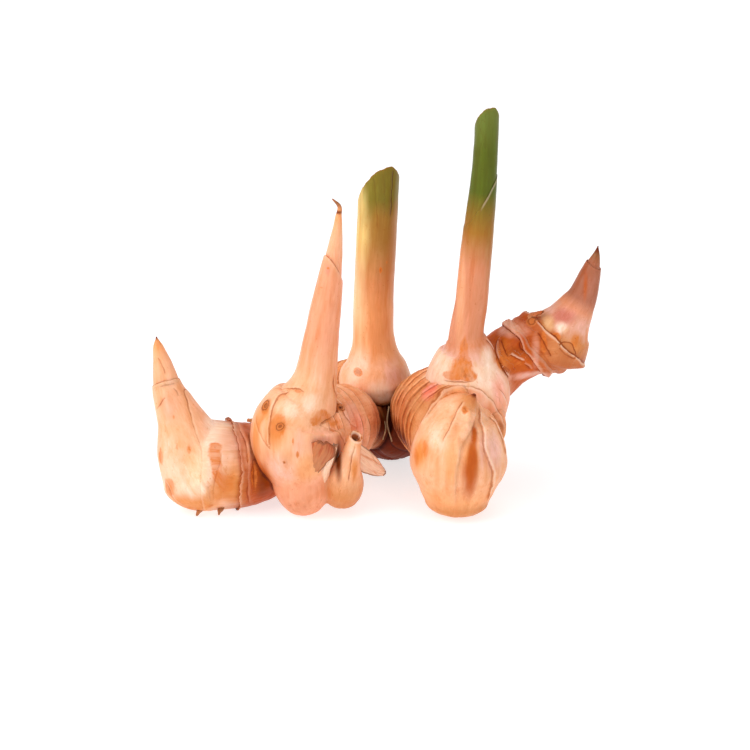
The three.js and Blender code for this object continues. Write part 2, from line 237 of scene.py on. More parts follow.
# %% Stations along each lobe: x, y, z, radius
STATIONS = {
    "left_neck": [
        (-36, -8.5, 18, 11.5), (-44, -14.5, 16.5, 15), (-55, -20.5, 16.3, 17.4), (-69.3, -24.5, 17.6, 18.8),
    ],
    "left": [
        (-70.6, -25, 17.5, 19.2), (-75.5, -25, 26.1, 15), (-79.5, -25, 37.5, 9.9), (-84.2, -25, 50, 6.5),
        (-86.4, -25, 62.4, 4.1), (-87.8, -25, 69.2, 2.4), (-88.3, -25, 73, 0.5),
    ],
    "centre_body": [
        (-31, -30, 33, 17.6), (-23.5, -16, 30, 17.8), (-14.7, -2, 27.2, 16.2), (-8, 12, 22, 11.5),
        (2, 23.5, 17, 11),
    ],
    "centre": [
        (-30.5, -33, 14.9, 12.2), (-31.6, -32, 25, 17.4), (-31.9, -31, 34, 19.2), (-31.1, -30, 40, 18.2),
        (-29.8, -30, 44.5, 15.4), (-27.4, -30, 49, 11.8), (-24.9, -30, 57.4, 8.8), (-22, -30, 76, 6.9),
        (-20.3, -30, 87.7, 6.1), (-18.2, -30, 101, 4.8), (-15.9, -30, 116.6, 3), (-15.1, -30, 124.3, 1.9),
        (-14.8, -30, 128.5, 1.4), (-17.4, -30, 131.5, 0.6),
    ],
    "rear_knot": [(8, 23.5, 16, 14), (4.7, 28, 15.3, 15.7), (-4, 34, 21.6, 15), (-11.8, 39, 26.8, 14.3)],
    "middle": [
        (-0.5, 25, 32.5, 14), (-0.9, 25, 37.3, 15.6), (-0.9, 25, 43.2, 13.6), (-1.1, 25, 46.8, 11.4),
        (-1.3, 25, 51.8, 9.5), (-1.6, 25, 57.6, 8.7), (-1.6, 25, 68.3, 8.5), (-1.1, 25, 82, 8.4),
        (0.5, 25, 118, 8.4), (1.2, 25, 140, 8.4),
    ],
    "right_body": [
        (14, 19.5, 22, 8), (17, 13.5, 25.5, 12.5), (22.3, 4, 30, 18.2), (27.5, -7, 32.5, 20.4),
        (33, -25.5, 32.5, 20.4),
    ],
    "tall": [
        (35.7, -10, 35.2, 17.3), (36.1, -10, 42.7, 18.5), (36.2, -10, 48.5, 17.6), (36.1, -10, 54, 15.4),
        (36.4, -10, 59, 12.9), (36.8, -10, 62.5, 10.6), (36.6, -10, 66.2, 8.5), (36.3, -10, 69.6, 7.1),
        (38.2, -10, 83.7, 6.6), (39.3, -10, 98.9, 6.5), (40.5, -10, 113.2, 6.2), (41.9, -10, 129.7, 5.6),
        (42.8, -10, 146, 5.1), (43.6, -10, 180, 4.9),
    ],
    "front": [
        (32.3, -33.1, 5.5, 13), (32.4, -33, 9.9, 14.9), (32.8, -32.5, 20.3, 19.1),
        (32.9, -32.5, 26.4, 19.2), (33.3, -32.5, 32.5, 17.8), (33.9, -32.5, 38.5, 15),
        (34.6, -33, 43.9, 11), (35.9, -33.9, 47.2, 6.6), (37.3, -34.8, 49.6, 3.2), (38.8, -35.3, 52.2, 0.8),
    ],
    "branch_body": [
        (40, -1.5, 40, 11), (47.6, 0, 48.3, 11.6), (52.9, 1, 54.3, 12.3), (63.1, 1, 60.5, 12.7),
        (73.5, 0, 62.5, 13),
    ],
    "branch": [
        (73.2, 0, 58, 12.8), (75.8, 0, 67, 12.1), (78.7, 0, 72.2, 9.2), (81.8, 0, 77.9, 7.1),
        (84, 0, 82.2, 5.7), (86.5, 0, 90.7, 4.2), (88.2, 0, 96.7, 2.8), (89.1, 0, 100.1, 1.6),
        (89.6, 0, 103.5, 0.4),
    ],
    "small": [
        (-14.5, -32.5, 10.5, 8.5), (-13.2, -37, 15.5, 8), (-12, -40.4, 23, 5.6), (-10.4, -42.3, 30, 3.9),
        (-8.9, -43.7, 36, 3), (-8, -44.5, 41.5, 2.6),
    ],
}
# How long the rounded ends are, as a share of the radius there: (start, end).
ENDS = {
    "left_neck": (0.95, 0.8),
    "centre": (1.26, 0.5),
    "rear_knot": (0.95, 0.9),
    "middle": (0.45, 0.5),
    "right_body": (0.95, 0.25),
    "front": (0.42, 0.5),
    "branch": (0.4, 0.5),
}
print(len(STATIONS), "lobes")


# %% The curve through the stations
def through(points, t):
    """Points on a centripetal Catmull-Rom curve; t is 0 at the first point, 1 at the second and so on."""
    p = np.asarray(points, float)
    p = np.vstack([2 * p[0] - p[1], p, 2 * p[-1] - p[-2]])
    i = np.clip(np.floor(t).astype(int), 0, len(p) - 4)
    a, b, c, d = (p[i + k] for k in range(4))
    first, middle, last = (np.sqrt(np.linalg.norm(v - u, axis=1))[:, None] for u, v in ((a, b), (b, c), (c, d)))
    leaving = ((b - a) / first - (c - a) / (first + middle) + (c - b) / middle) * middle
    arriving = ((c - b) / middle - (d - b) / (middle + last) + (d - c) / last) * middle
    x = (t - i)[:, None]
    return (
        b
        + leaving * x
        + (3 * (c - b) - 2 * leaving - arriving) * x**2
        + (2 * (b - c) + leaving + arriving) * x**3
    )


class Lobe:
    """An axis with a thickness, sampled finely: where it runs, how wide it is and which way its sides face."""

    CAP_STEPS = 24
    FINE = 40  # steps from one station to the next
    COARSE = 8  # of those steps, for the first guess in `around`
    BLOCK = 20000  # points looked up at a time, which keeps the memory small

    def __init__(self, name, stations=None, ends=None):
        stations = np.array(stations or STATIONS[name], float)
        start, end = ends or ENDS.get(name, (0.95, 0.5))
        self.name = name
        t = np.linspace(0, len(stations) - 1, (len(stations) - 1) * self.FINE + 1)
        axis = through(stations[:, :3], t)
        girth = through(np.column_stack([20 * np.arange(len(stations)), stations[:, 3]]), t)[:, 1]
        tangent = np.gradient(axis, axis=0)
        tangent /= np.linalg.norm(tangent, axis=1)[:, None]
        angle = np.linspace(0, math.pi / 2, self.CAP_STEPS, endpoint=False)[:, None]
        first = axis[0] - start * girth[0] * np.cos(angle) * tangent[0]
        last = axis[-1] + end * girth[-1] * np.cos(angle[::-1]) * tangent[-1]
        rounding = np.sin(angle[:, 0])
        self.axis = np.vstack([first, axis, last])
        self.radius = np.concatenate([girth[0] * rounding, girth, girth[-1] * rounding[::-1]])
        caps = np.ones((self.CAP_STEPS, 1))
        self.tangent = np.vstack([tangent[0] * caps, tangent, tangent[-1] * caps])
        self.station = np.concatenate([np.zeros(len(first)), t, np.full(len(last), t[-1])])
        steps = np.linalg.norm(np.diff(self.axis, axis=0), axis=1)
        self.run = np.concatenate([[0], np.cumsum(steps)])
        self.length = self.run[-1]
        side = np.cross((0, 1, 0), self.tangent[0])
        sides = []
        for way in self.tangent:
            side = side - way * (side @ way)
            side /= np.linalg.norm(side)
            sides.append(side)
        self.side = np.array(sides)
        self.across = np.cross(self.side, self.tangent)

    def at(self, values, run):
        """One of the sampled rows, read off at a distance along the axis."""
        if values.ndim == 1:
            return np.interp(run, self.run, values)
        return np.column_stack([np.interp(run, self.run, column) for column in values.T])

    def place(self, run, turn, radius):
        """Points round the axis, in millimetres."""
        outward = self.at(self.side, run) * np.cos(turn)[:, None] + self.at(self.across, run) * np.sin(turn)[:, None]
        beyond = np.where(run < 0, run, np.maximum(run - self.length, 0))
        return self.at(self.axis, run) + beyond[:, None] * self.at(self.tangent, run) + outward * radius[:, None]

    def around(self, points):
        """For points in space: the distance along the axis, the turn round it, and how far outside the lobe."""
        coarse = slice(None, None, self.COARSE)
        axis, run, tangent = self.axis[coarse], self.run[coarse], self.tangent[coarse]
        near = np.empty(len(points), int)
        for block in np.array_split(np.arange(len(points)), max(1, len(points) // self.BLOCK)):
            square = (points[block] ** 2).sum(1)[:, None] - 2 * points[block] @ axis.T + (axis**2).sum(1)
            near[block] = square.argmin(1)
        along = run[near] + ((points - axis[near]) * tangent[near]).sum(1)
        along = np.clip(along, 0, self.length)
        out = points - self.at(self.axis, along)
        x = (out * self.at(self.side, along)).sum(1)
        y = (out * self.at(self.across, along)).sum(1)
        away = np.linalg.norm(out, axis=1)
        return along, np.arctan2(y, x), away - self.at(self.radius, along)


LOBES = {name: Lobe(name) for name in STATIONS}
for name, lobe in LOBES.items():
    print(f"{name}: {lobe.length:.0f} mm along its axis, {2 * lobe.radius.max():.0f} mm thick")

# %% [markdown]
# ## Noise in numpy
#
# The lumps, wrinkles and wandering edges of a root come from gradient noise. Shader nodes have it built in, but the
# mesh needs it too, because a lump has to be real geometry. The slopes on the lattice come from one seeded table, so
# the root grows the same way on every run.

# %% Gradient noise
LATTICE = 32
AWAY, SEED_STEP = 100, 7.31  # keeps the cells above zero, and gives each seed its own part of the table
STRETCH = 1.6  # brings the bumps to about -1 to 1
SLOPES = np.random.default_rng(11).normal(size=(LATTICE, LATTICE, LATTICE, 3))
SLOPES /= np.linalg.norm(SLOPES, axis=3)[..., None]


def noise(points, size=1.0, seed=0):
    """Smooth bumps, about -1 to 1, roughly one for each `size` of the points."""
    p = points / size + seed * SEED_STEP + AWAY
    cell = np.floor(p).astype(int)
    f = p - cell
    w = f**3 * (f * (f * 6 - 15) + 10)
    total = np.zeros(len(p))
    for corner in product((0, 1), repeat=3):
        slope = SLOPES[tuple(((cell + corner) % LATTICE).T)]
        share = np.prod(np.where(corner, w, 1 - w), axis=1)
        total += share * ((f - corner) * slope).sum(1)
    return total * STRETCH


def smooth(low, high, x):
    """0 at low, 1 at high, and an S-curve between."""
    t = np.clip((x - low) / (high - low), 0, 1)
    return t * t * (3 - 2 * t)


sample = noise(np.random.default_rng(3).uniform(0, 50, (4000, 3)))
print(f"the noise runs from {sample.min():.2f} to {sample.max():.2f}")

# %% [markdown]
# ## What grows where
#
# Everything that follows the growth of the root, its fibres, rings and colours, needs to know where a point lies on
# its lobe. So each skin stores a few numbers at its vertices. "grain" is the place the point would have if the lobe
# were pulled straight, so a pattern stretched along it runs with the fibres. "rings" counts the leaf-scar rings from
# the lobe's foot, so the shader can draw their thin edges far finer than the mesh. "marks" holds soft masks for
# stains, dirt with painted shade in the creases, and root scars, and "edges" the distance from the nearest fold or
# scale edge. "tone" is the colour.

# %% Ring scars
# How tall the rings stand on each lobe, in mm, from its foot to its tip, and the distance between them.
RINGS = {
    "left_neck": (4.6, [(0, 0.4), (22, 0.3), (30, 0.1), (40, 0.0)]),
    "left": (9.0, [(0, 0.0)]),
    "centre_body": (5.6, [(0, 0.2), (16, 0.55), (70, 0.6)]),
    "centre": (7.0, [(0, 0.12), (20, 0.0)]),
    "rear_knot": (5.0, [(0, 0.6), (60, 0.5)]),
    "middle": (6.0, [(0, 0.1), (14, 0.0)]),
    "right_body": (5.2, [(0, 0.5), (40, 0.7), (70, 0.5)]),
    "tall": (4.4, [(0, 0.35), (14, 0.3), (19, 0.0)]),
    "front": (3.6, [(0, 0.15), (30, 0.0)]),
    "branch_body": (5.6, [(0, 0.2), (18, 0.12), (60, 0.1)]),
    "branch": (6.0, [(0, 0.1), (8, 0.0)]),
    "small": (5.0, [(0, 0.15), (12, 0.0)]),
}


def straightened(lobe, run, turn, radius):
    return np.column_stack([radius * np.cos(turn), radius * np.sin(turn), run])


def ring_count(name, run, straight):
    """How many rings lie below each point. Their edges wander, and no two gaps are the same."""
    pitch, _ = RINGS[name]
    wander = 1.9 * noise(straight * (1, 1, 0.4), 13, 1) + 0.35 * noise(straight * (1, 1, 0.5), 6, 2)
    uneven = 1.6 * noise(np.column_stack([run, run * 0, run * 0]), 9, 3)
    return (run + wander + uneven) / pitch


def ring_height(name, run):
    _, heights = RINGS[name]
    return np.interp(run, *np.array(heights, float).T)


print("rings every", RINGS["centre_body"][0], "mm on the ringed arm")

# %% [markdown]
# ## Colours
#
# A young shoot is salmon pink and cream, an old lobe is tan, and a stem that has seen the sun is green. Each station
# of a lobe names its tone, and the tones blend from one station to the next. Over that go soft blushes and stains,
# each with a place, a size and a colour, whose edges the noise breaks up. Some blushes are painted light and painted
# shade, and the dark tones where the lobes meet in the hollow between the arms are dirt with painted shade.

# %% Tones along the lobes
TONES = {
    "cream": rgb(248, 214, 188),
    "pale": rgb(246, 203, 174),
    "ivory": rgb(240, 196, 146),
    "straw": rgb(248, 212, 132),
    "peach": rgb(241, 178, 136),
    "apricot": rgb(240, 166, 112),
    "salmon": rgb(238, 162, 124),
    "pink": rgb(232, 150, 126),
    "flush": rgb(246, 146, 124),
    "blush": rgb(232, 174, 152),
    "amber": rgb(222, 136, 62),
    "tan": rgb(212, 138, 84),
    "russet": rgb(186, 104, 56),
    "rust": rgb(188, 86, 20),
    "bark": rgb(122, 50, 6),
    "umber": rgb(106, 36, 0),
    "soil": rgb(42, 17, 5),
    "olive": rgb(128, 112, 34),
    "green": rgb(86, 94, 20),
    "leaf": rgb(122, 132, 60),
    "sedge": rgb(164, 112, 40),
    "clay": rgb(216, 140, 102),
    "rose": rgb(206, 122, 102),
    "rosewood": rgb(172, 104, 76),
    "horn": rgb(150, 96, 60),
}
LOBE_TONES = {
    "left_neck": "bark rust rust pale",
    "left": "pale peach peach peach peach apricot tan",
    # its umber end lies in the hollow between the arms: dirt with painted shade
    "centre_body": "peach peach peach tan umber",
    "centre": "salmon peach peach peach peach peach peach salmon salmon salmon peach apricot tan russet",
    # umber and bark on the rear knot, in the hollow between the arms: dirt with painted shade
    "rear_knot": "umber umber bark tan",
    "middle": "tan peach peach peach apricot apricot apricot tan olive olive",
    # its umber and bark start lies in the hollow between the arms: dirt with painted shade
    "right_body": "umber bark tan apricot tan",
    "tall": "salmon salmon pale pale pale blush clay clay clay clay sedge green green leaf",
    "front": "tan apricot peach peach peach peach peach peach tan russet",
    "branch_body": "rust rust rust rust russet",
    "branch": "russet tan blush clay rosewood rosewood rosewood horn umber",
    "small": "tan tan peach peach peach tan",
}


def lobe_tone(lobe, run):
    """The lobe's own colour at a distance along its axis."""
    colours = np.array([TONES[word] for word in LOBE_TONES[lobe.name].split()])
    station = np.clip(lobe.at(lobe.station, run), 0, len(colours) - 1)
    return np.column_stack([np.interp(station, np.arange(len(colours)), c) for c in colours.T])


# Each blush is a tone, where it is centred, how far it reaches along x, y and z in mm, and how strong it is.
BLUSHES = [
    # the left lobe and its neck
    ("cream", (-84, -38, 24), (6, 12, 13), 0.45),
    ("pink", (-83, -34, 46), (5, 9, 9), 0.35),
    ("cream", (-64, -30, 37), (8, 12, 4.5), 0.9),
    ("cream", (-73, -42, 12), (9, 8, 9), 0.6),
    ("ivory", (-72, -43, 24), (5, 8, 12), 0.5),
    ("cream", (-59.5, -38, 24), (3, 9, 6), 0.5),
    # darker amber low on the left lobe: painted shade under it
    ("amber", (-76, -40, 5), (22, 20, 9), 0.9),
    ("amber", (-65, -42, 14), (5, 9, 7), 0.8),
    ("tan", (-84, -38, 12), (4.5, 6, 6), 0.5),
    ("amber", (-58, -41, 15), (6, 9, 14), 0.9),
    ("rust", (-47, -34, 16), (8.5, 18, 26), 1.0),
    ("bark", (-46, -37, 12), (4, 9, 14), 0.8),
    ("peach", (-51.5, -34, 27), (2.6, 8, 7), 0.6),
    ("blush", (-46, -22, 34), (9, 10, 5), 0.6),
    ("umber", (-88.4, -25, 73.4), (1.9, 4, 1.7), 1.0),
    # the centre lobe
    ("amber", (-39.8, -45.5, 41.5), (5.2, 7, 9), 0.8),
    ("amber", (-44.5, -38, 46), (3.6, 6, 5), 0.8),
    ("amber", (-48, -38, 38), (3, 9, 14), 0.7),
    ("cream", (-34, -44, 49.5), (5, 7, 5), 0.8),
    ("cream", (-26, -42, 51), (6, 7, 5), 0.6),
    ("blush", (-37, -46, 26), (8, 9, 8), 0.7),
    ("blush", (-31, -48, 36), (3.4, 6, 7), 0.5),
    ("pink", (-22, -44, 36), (8, 8, 7), 0.65),
    ("apricot", (-27, -48, 26), (7, 7, 8), 0.8),
    ("tan", (-35.5, -48, 31), (3.4, 6, 5), 0.5),
    ("clay", (-36, -42, 8), (14, 14, 9), 0.7),
    ("blush", (-24, -30, 66), (6, 9, 12), 0.35),
    ("bark", (-15.3, -30, 126.4), (2.6, 5, 1.1), 1.0),
    ("horn", (-16, -30, 130.5), (4, 5, 3.4), 1.0),
    ("pink", (-19.3, -33, 104), (1.6, 4, 3), 0.8),
    # the ringed arm behind it
    ("blush", (-11, -24, 41), (4, 9, 6), 0.7),
    ("pink", (-8, -24, 34), (4.5, 10, 8), 0.8),
    ("rust", (0, -8, 33), (3, 10, 14), 0.7),
    # the small bud and its hollow side
    ("cream", (-10, -46, 34), (2.4, 4, 6), 0.8),
    # dark bark in the gap between the stalk and the small bud: painted shadow
    ("bark", (-15.6, -43, 27), (1.9, 8, 10), 1.0),
    ("amber", (-9, -46, 24), (2, 6, 7), 0.8),
    ("rust", (-6, -42, 27), (1.1, 7, 9), 0.7),
    # the middle stem
    ("cream", (-9, 16, 46), (6, 9, 10), 0.7),
    # paler tone under the middle stem's bulb: painted light lifting its shade
    ("pale", (1, 10, 38), (8, 7, 4.5), 0.9),
    ("amber", (0, 16, 66), (4.5, 9, 16), 0.35),
    # paler straw and ivory down the left side of the middle stem: painted highlight on its lit side
    ("straw", (-11, 18, 108), (8.2, 14, 30), 1.0),
    ("ivory", (-10.5, 20, 76), (6.4, 12, 28), 0.9),
    # blush and cream under the middle stem's bulb: painted light lifting its shade
    ("blush", (8, 13, 43), (6, 8, 7), 0.8),
    ("cream", (1, 10, 35), (9, 8, 4), 1.0),
    ("sedge", (1.5, 17, 106), (5, 8, 12), 0.7),
    ("clay", (8.5, 20, 84), (3, 9, 40), 0.6),
    # the right body and the tall stem
    ("rust", (11, -14, 36), (5, 14, 14), 0.4),
    # dark umber in the hollow between the arms: dirt with painted shade
    ("umber", (8, -20, 26), (6, 18, 9), 0.95),
    ("umber", (4, 2, 22), (10, 16, 14), 1.0),
    ("flush", (21, -25, 50.5), (5, 8, 4.6), 1.0),
    ("cream", (25, -19, 60.5), (5.5, 9, 8), 0.95),
    ("amber", (33.8, -23, 57.5), (6, 6, 5), 0.7),
    ("flush", (49, -20, 49), (4, 8, 8), 0.6),
    ("cream", (46, -19, 61), (5, 8, 7), 0.9),
    ("olive", (45.5, -9, 101), (3.4, 9, 18), 0.3),
    ("salmon", (36, -27, 49), (13, 6, 3.4), 0.8),
    ("salmon", (52, -16, 40), (6, 10, 10), 0.4),
    ("peach", (33.5, -14, 84), (2.4, 6, 30), 0.7),
    # the front bud
    # cream on the front bud's upper left: painted highlight
    ("cream", (22.5, -48, 39), (4.6, 8, 8), 0.8),
    ("amber", (17, -44, 30), (4.6, 8, 8), 0.9),
    ("blush", (46, -44, 31), (4.6, 8, 10), 0.9),
    ("tan", (31, -50, 41), (3, 8, 7), 0.6),
    ("apricot", (30, -50, 28), (4.4, 8, 10), 0.9),
    ("amber", (37, -50, 30), (4.6, 8, 12), 0.9),
    # rust down the furrow between the scales: partly the skin's own rust, partly painted shade in the furrow
    ("rust", (36.8, -50, 23), (4, 7, 12), 0.95),
    ("rust", (37.6, -49, 31), (2.5, 7, 9), 1.0),
    ("rust", (38.4, -45.5, 37.5), (1.6, 7, 9), 1.0),
    ("rust", (37.6, -48, 32), (2.2, 7, 7), 1.0),
    ("rust", (36.2, -50, 25), (3.4, 7, 8), 1.0),
    ("blush", (41.6, -48, 33), (1.7, 7, 12), 0.8),
    ("amber", (33.5, -27, 50.5), (6, 5, 2.6), 0.6),
    ("umber", (38.9, -35.3, 52.8), (1.8, 4, 1.7), 1.0),
    # the side branch
    ("amber", (50, -9, 58), (6, 9, 9), 0.7),
    ("bark", (56, -12, 61.5), (5, 9, 2.4), 0.35),
    ("blush", (54, -3, 70), (10, 8, 3.6), 1.0),
    ("blush", (64.8, -12, 62), (1.9, 6, 10), 0.5),
    ("rose", (76, -8, 76), (5.5, 8, 4.2), 1.0),
    ("cream", (75, -10, 71.8), (3.4, 6, 2.6), 0.9),
    ("ivory", (69.2, -8, 73), (3, 8, 4.2), 0.7),
    ("tan", (71, -12, 63), (6, 8, 6), 0.6),
    ("rust", (67.6, -13, 66), (2.1, 6, 7.5), 1.0),
    ("amber", (81, -9, 66), (3.2, 8, 5), 0.5),
    ("blush", (62, -6, 50.5), (14, 12, 2.6), 0.8),
    ("rust", (84.5, -4, 88), (1.2, 6, 9), 0.7),
    ("umber", (89.6, 0, 102.6), (2.2, 5, 3), 0.9),
]


def apart(points, centre, reach):
    """Distance from a centre, where 1 is its reach."""
    return np.linalg.norm((points - centre) / reach, axis=1)


def blushed(colour, points):
    wobble = 0.28 * noise(points * (1, 1, 0.35), 7, 20) + 0.12 * noise(points * (1, 1, 0.25), 2.5, 21)
    for word, centre, reach, strength in BLUSHES:
        away = apart(points, centre, reach) + wobble
        share = strength * (1 - smooth(0.25, 1.15, away))
        colour = colour + (np.array(TONES[word]) - colour) * share[:, None]
    return colour


print(len(TONES), "tones,", len(BLUSHES), "blushes")

# %% [markdown]
# ## Stains and root scars
#
# Where a root broke off, it leaves a rosette: a dark dot in rings of cracked skin. Stains are sharper than blushes,
# with fibrous edges, so the mesh only carries a soft mask, and the shader cuts it with a fine noise.

# %% Marks
# Stains: centre, reach along x, y and z in mm, strength.
STAINS = [
    ((-65.2, -39, 29.5), (3, 6, 5), 0.9),
    ((-64.6, -41, 23.5), (2.4, 6, 7), 0.8),
    ((-62.6, -42, 18.5), (2.6, 6, 5.5), 0.6),
    ((-60, -41, 15.5), (3.6, 6, 4.5), 0.7),
    ((-84, -37, 12.8), (2.8, 6, 4.6), 1.0),
    ((-87.4, -32, 24.5), (1.3, 6, 4.2), 0.8),
    ((-75.5, -38.5, 30), (1.3, 5, 2.6), 0.6),
    ((-80.3, -36.5, 31), (0.9, 5, 3.2), 0.5),
    ((-81.6, -34, 42), (0.8, 4, 1.5), 0.6),
    ((-39.2, -45.6, 43), (3.4, 5, 6.6), 1.0),
    ((-44.4, -37, 47.2), (2.6, 4, 4), 0.9),
    ((-24.4, -42.6, 44), (3, 5, 2.6), 0.8),
    ((-22, -41.4, 45.6), (3, 5, 3), 0.8),
    ((-19, -40, 43.4), (3.6, 5, 2.4), 0.8),
    ((-16, -37.6, 41), (3.4, 5, 1.5), 0.7),
    ((-33.3, -49, 38.4), (0.7, 3, 2.2), 0.8),
    ((-31.5, -49.7, 32.5), (0.7, 3, 2), 0.8),
    ((-16.4, -28, 47), (1.5, 5, 7), 0.9),
    ((-17.2, -34, 58), (1, 5, 7), 0.6),
    ((-31.5, -38, 54.8), (2.4, 3, 0.8), 0.7),
    ((-8.1, 13.8, 44), (2, 4, 1.7), 1.5),
    ((29.4, -24, 55.8), (3.6, 5, 1.8), 1.0),
    ((37.6, -24, 55.8), (3.2, 5, 2), 1.2),
    ((33.6, -24, 57), (5.4, 5, 3), 0.8),
    ((32, -28, 49.2), (6, 4, 1.2), 1.0),
    ((34.3, -22, 60), (4.4, 5, 4), 1.0),
    ((34.9, -20, 66), (2.3, 5, 6), 0.9),
    ((19, -45, 33), (1.6, 5, 4.5), 0.8),
    ((15.6, -42, 27.5), (1.6, 5, 4), 0.7),
    ((34.7, -38.9, 47), (1.3, 3, 1.7), 1.0),
    ((1.5, 17, 88), (0.9, 3, 1.6), 0.8),
    ((4, 17, 91), (0.7, 3, 1.2), 0.8),
    ((-49.5, -39, 17), (1.5, 5, 9), 1.0),
    ((-52, -38, 26), (1.2, 5, 5), 0.8),
    ((50.5, -11, 57), (3, 5, 4.5), 0.8),
    ((57.5, -12, 57), (3.4, 5, 2.6), 0.6),
    ((-19.3, -34.4, 104.7), (1.1, 2, 0.8), 0.7),
    ((-22.2, -34.4, 96.8), (1.6, 2, 0.6), 0.5),
    ((-76, -36, 4), (2.4, 5, 2), 0.6),
    ((-68, -42, 6), (2.4, 6, 1.6), 0.6),
    ((72.3, -12.6, 68.6), (2.6, 5, 1.8), 1.0),
    ((80.5, -10.6, 66.6), (2, 5, 2.6), 0.9),
    ((67.8, -13, 66.2), (1.3, 5, 5.4), 1.0),
    ((85.6, -6, 66), (1.2, 6, 7), 0.7),
]
# Root scars: centre, radius in mm.
SCARS = [
    ((-43.8, -36.2, 47.6), 2.3),
    ((-38.3, -46, 42.4), 1.7),
    ((62.9, -6.4, 73.8), 2.4),
    ((-36.7, -48.6, 29), 0.7),
    ((-14.8, -27, 43.6), 1.6),
]
SCAR_RIM = 1.5  # how much wider than the scar its cracked rim is


def stained(points):
    total = np.zeros(len(points))
    for centre, reach, strength in STAINS:
        share = strength * (1 - smooth(0.1, 1.5, apart(points, centre, reach)))
        total += share * np.clip(1 - total, 0, 1)
    return total


def scarred(points):
    """1 at the middle of a root scar, 0 at its rim and beyond."""
    total = np.zeros(len(points))
    for centre, radius in SCARS:
        total = np.maximum(total, np.clip(1 - apart(points, centre, radius) / SCAR_RIM, 0, 1))
    return total


print(len(STAINS), "stains,", len(SCARS), "root scars")

# %% [markdown]
# ## Edges of old scales
#
# A rhizome is wrapped in scale leaves, one over the other, and where one ends there is a fine step with a brown line
# under it. Folds, cracks and scratches are lines too. So each line is a few points on the skin with a curve through
# them. A point of the skin asks for its distance from the curve, signed plus on the left of it, as somebody sees it
# who walks along it on the outside. The step, the groove or the ridge is a function of that distance, and the shader
# gets the distance too, because it can draw a line that is much finer than the mesh.

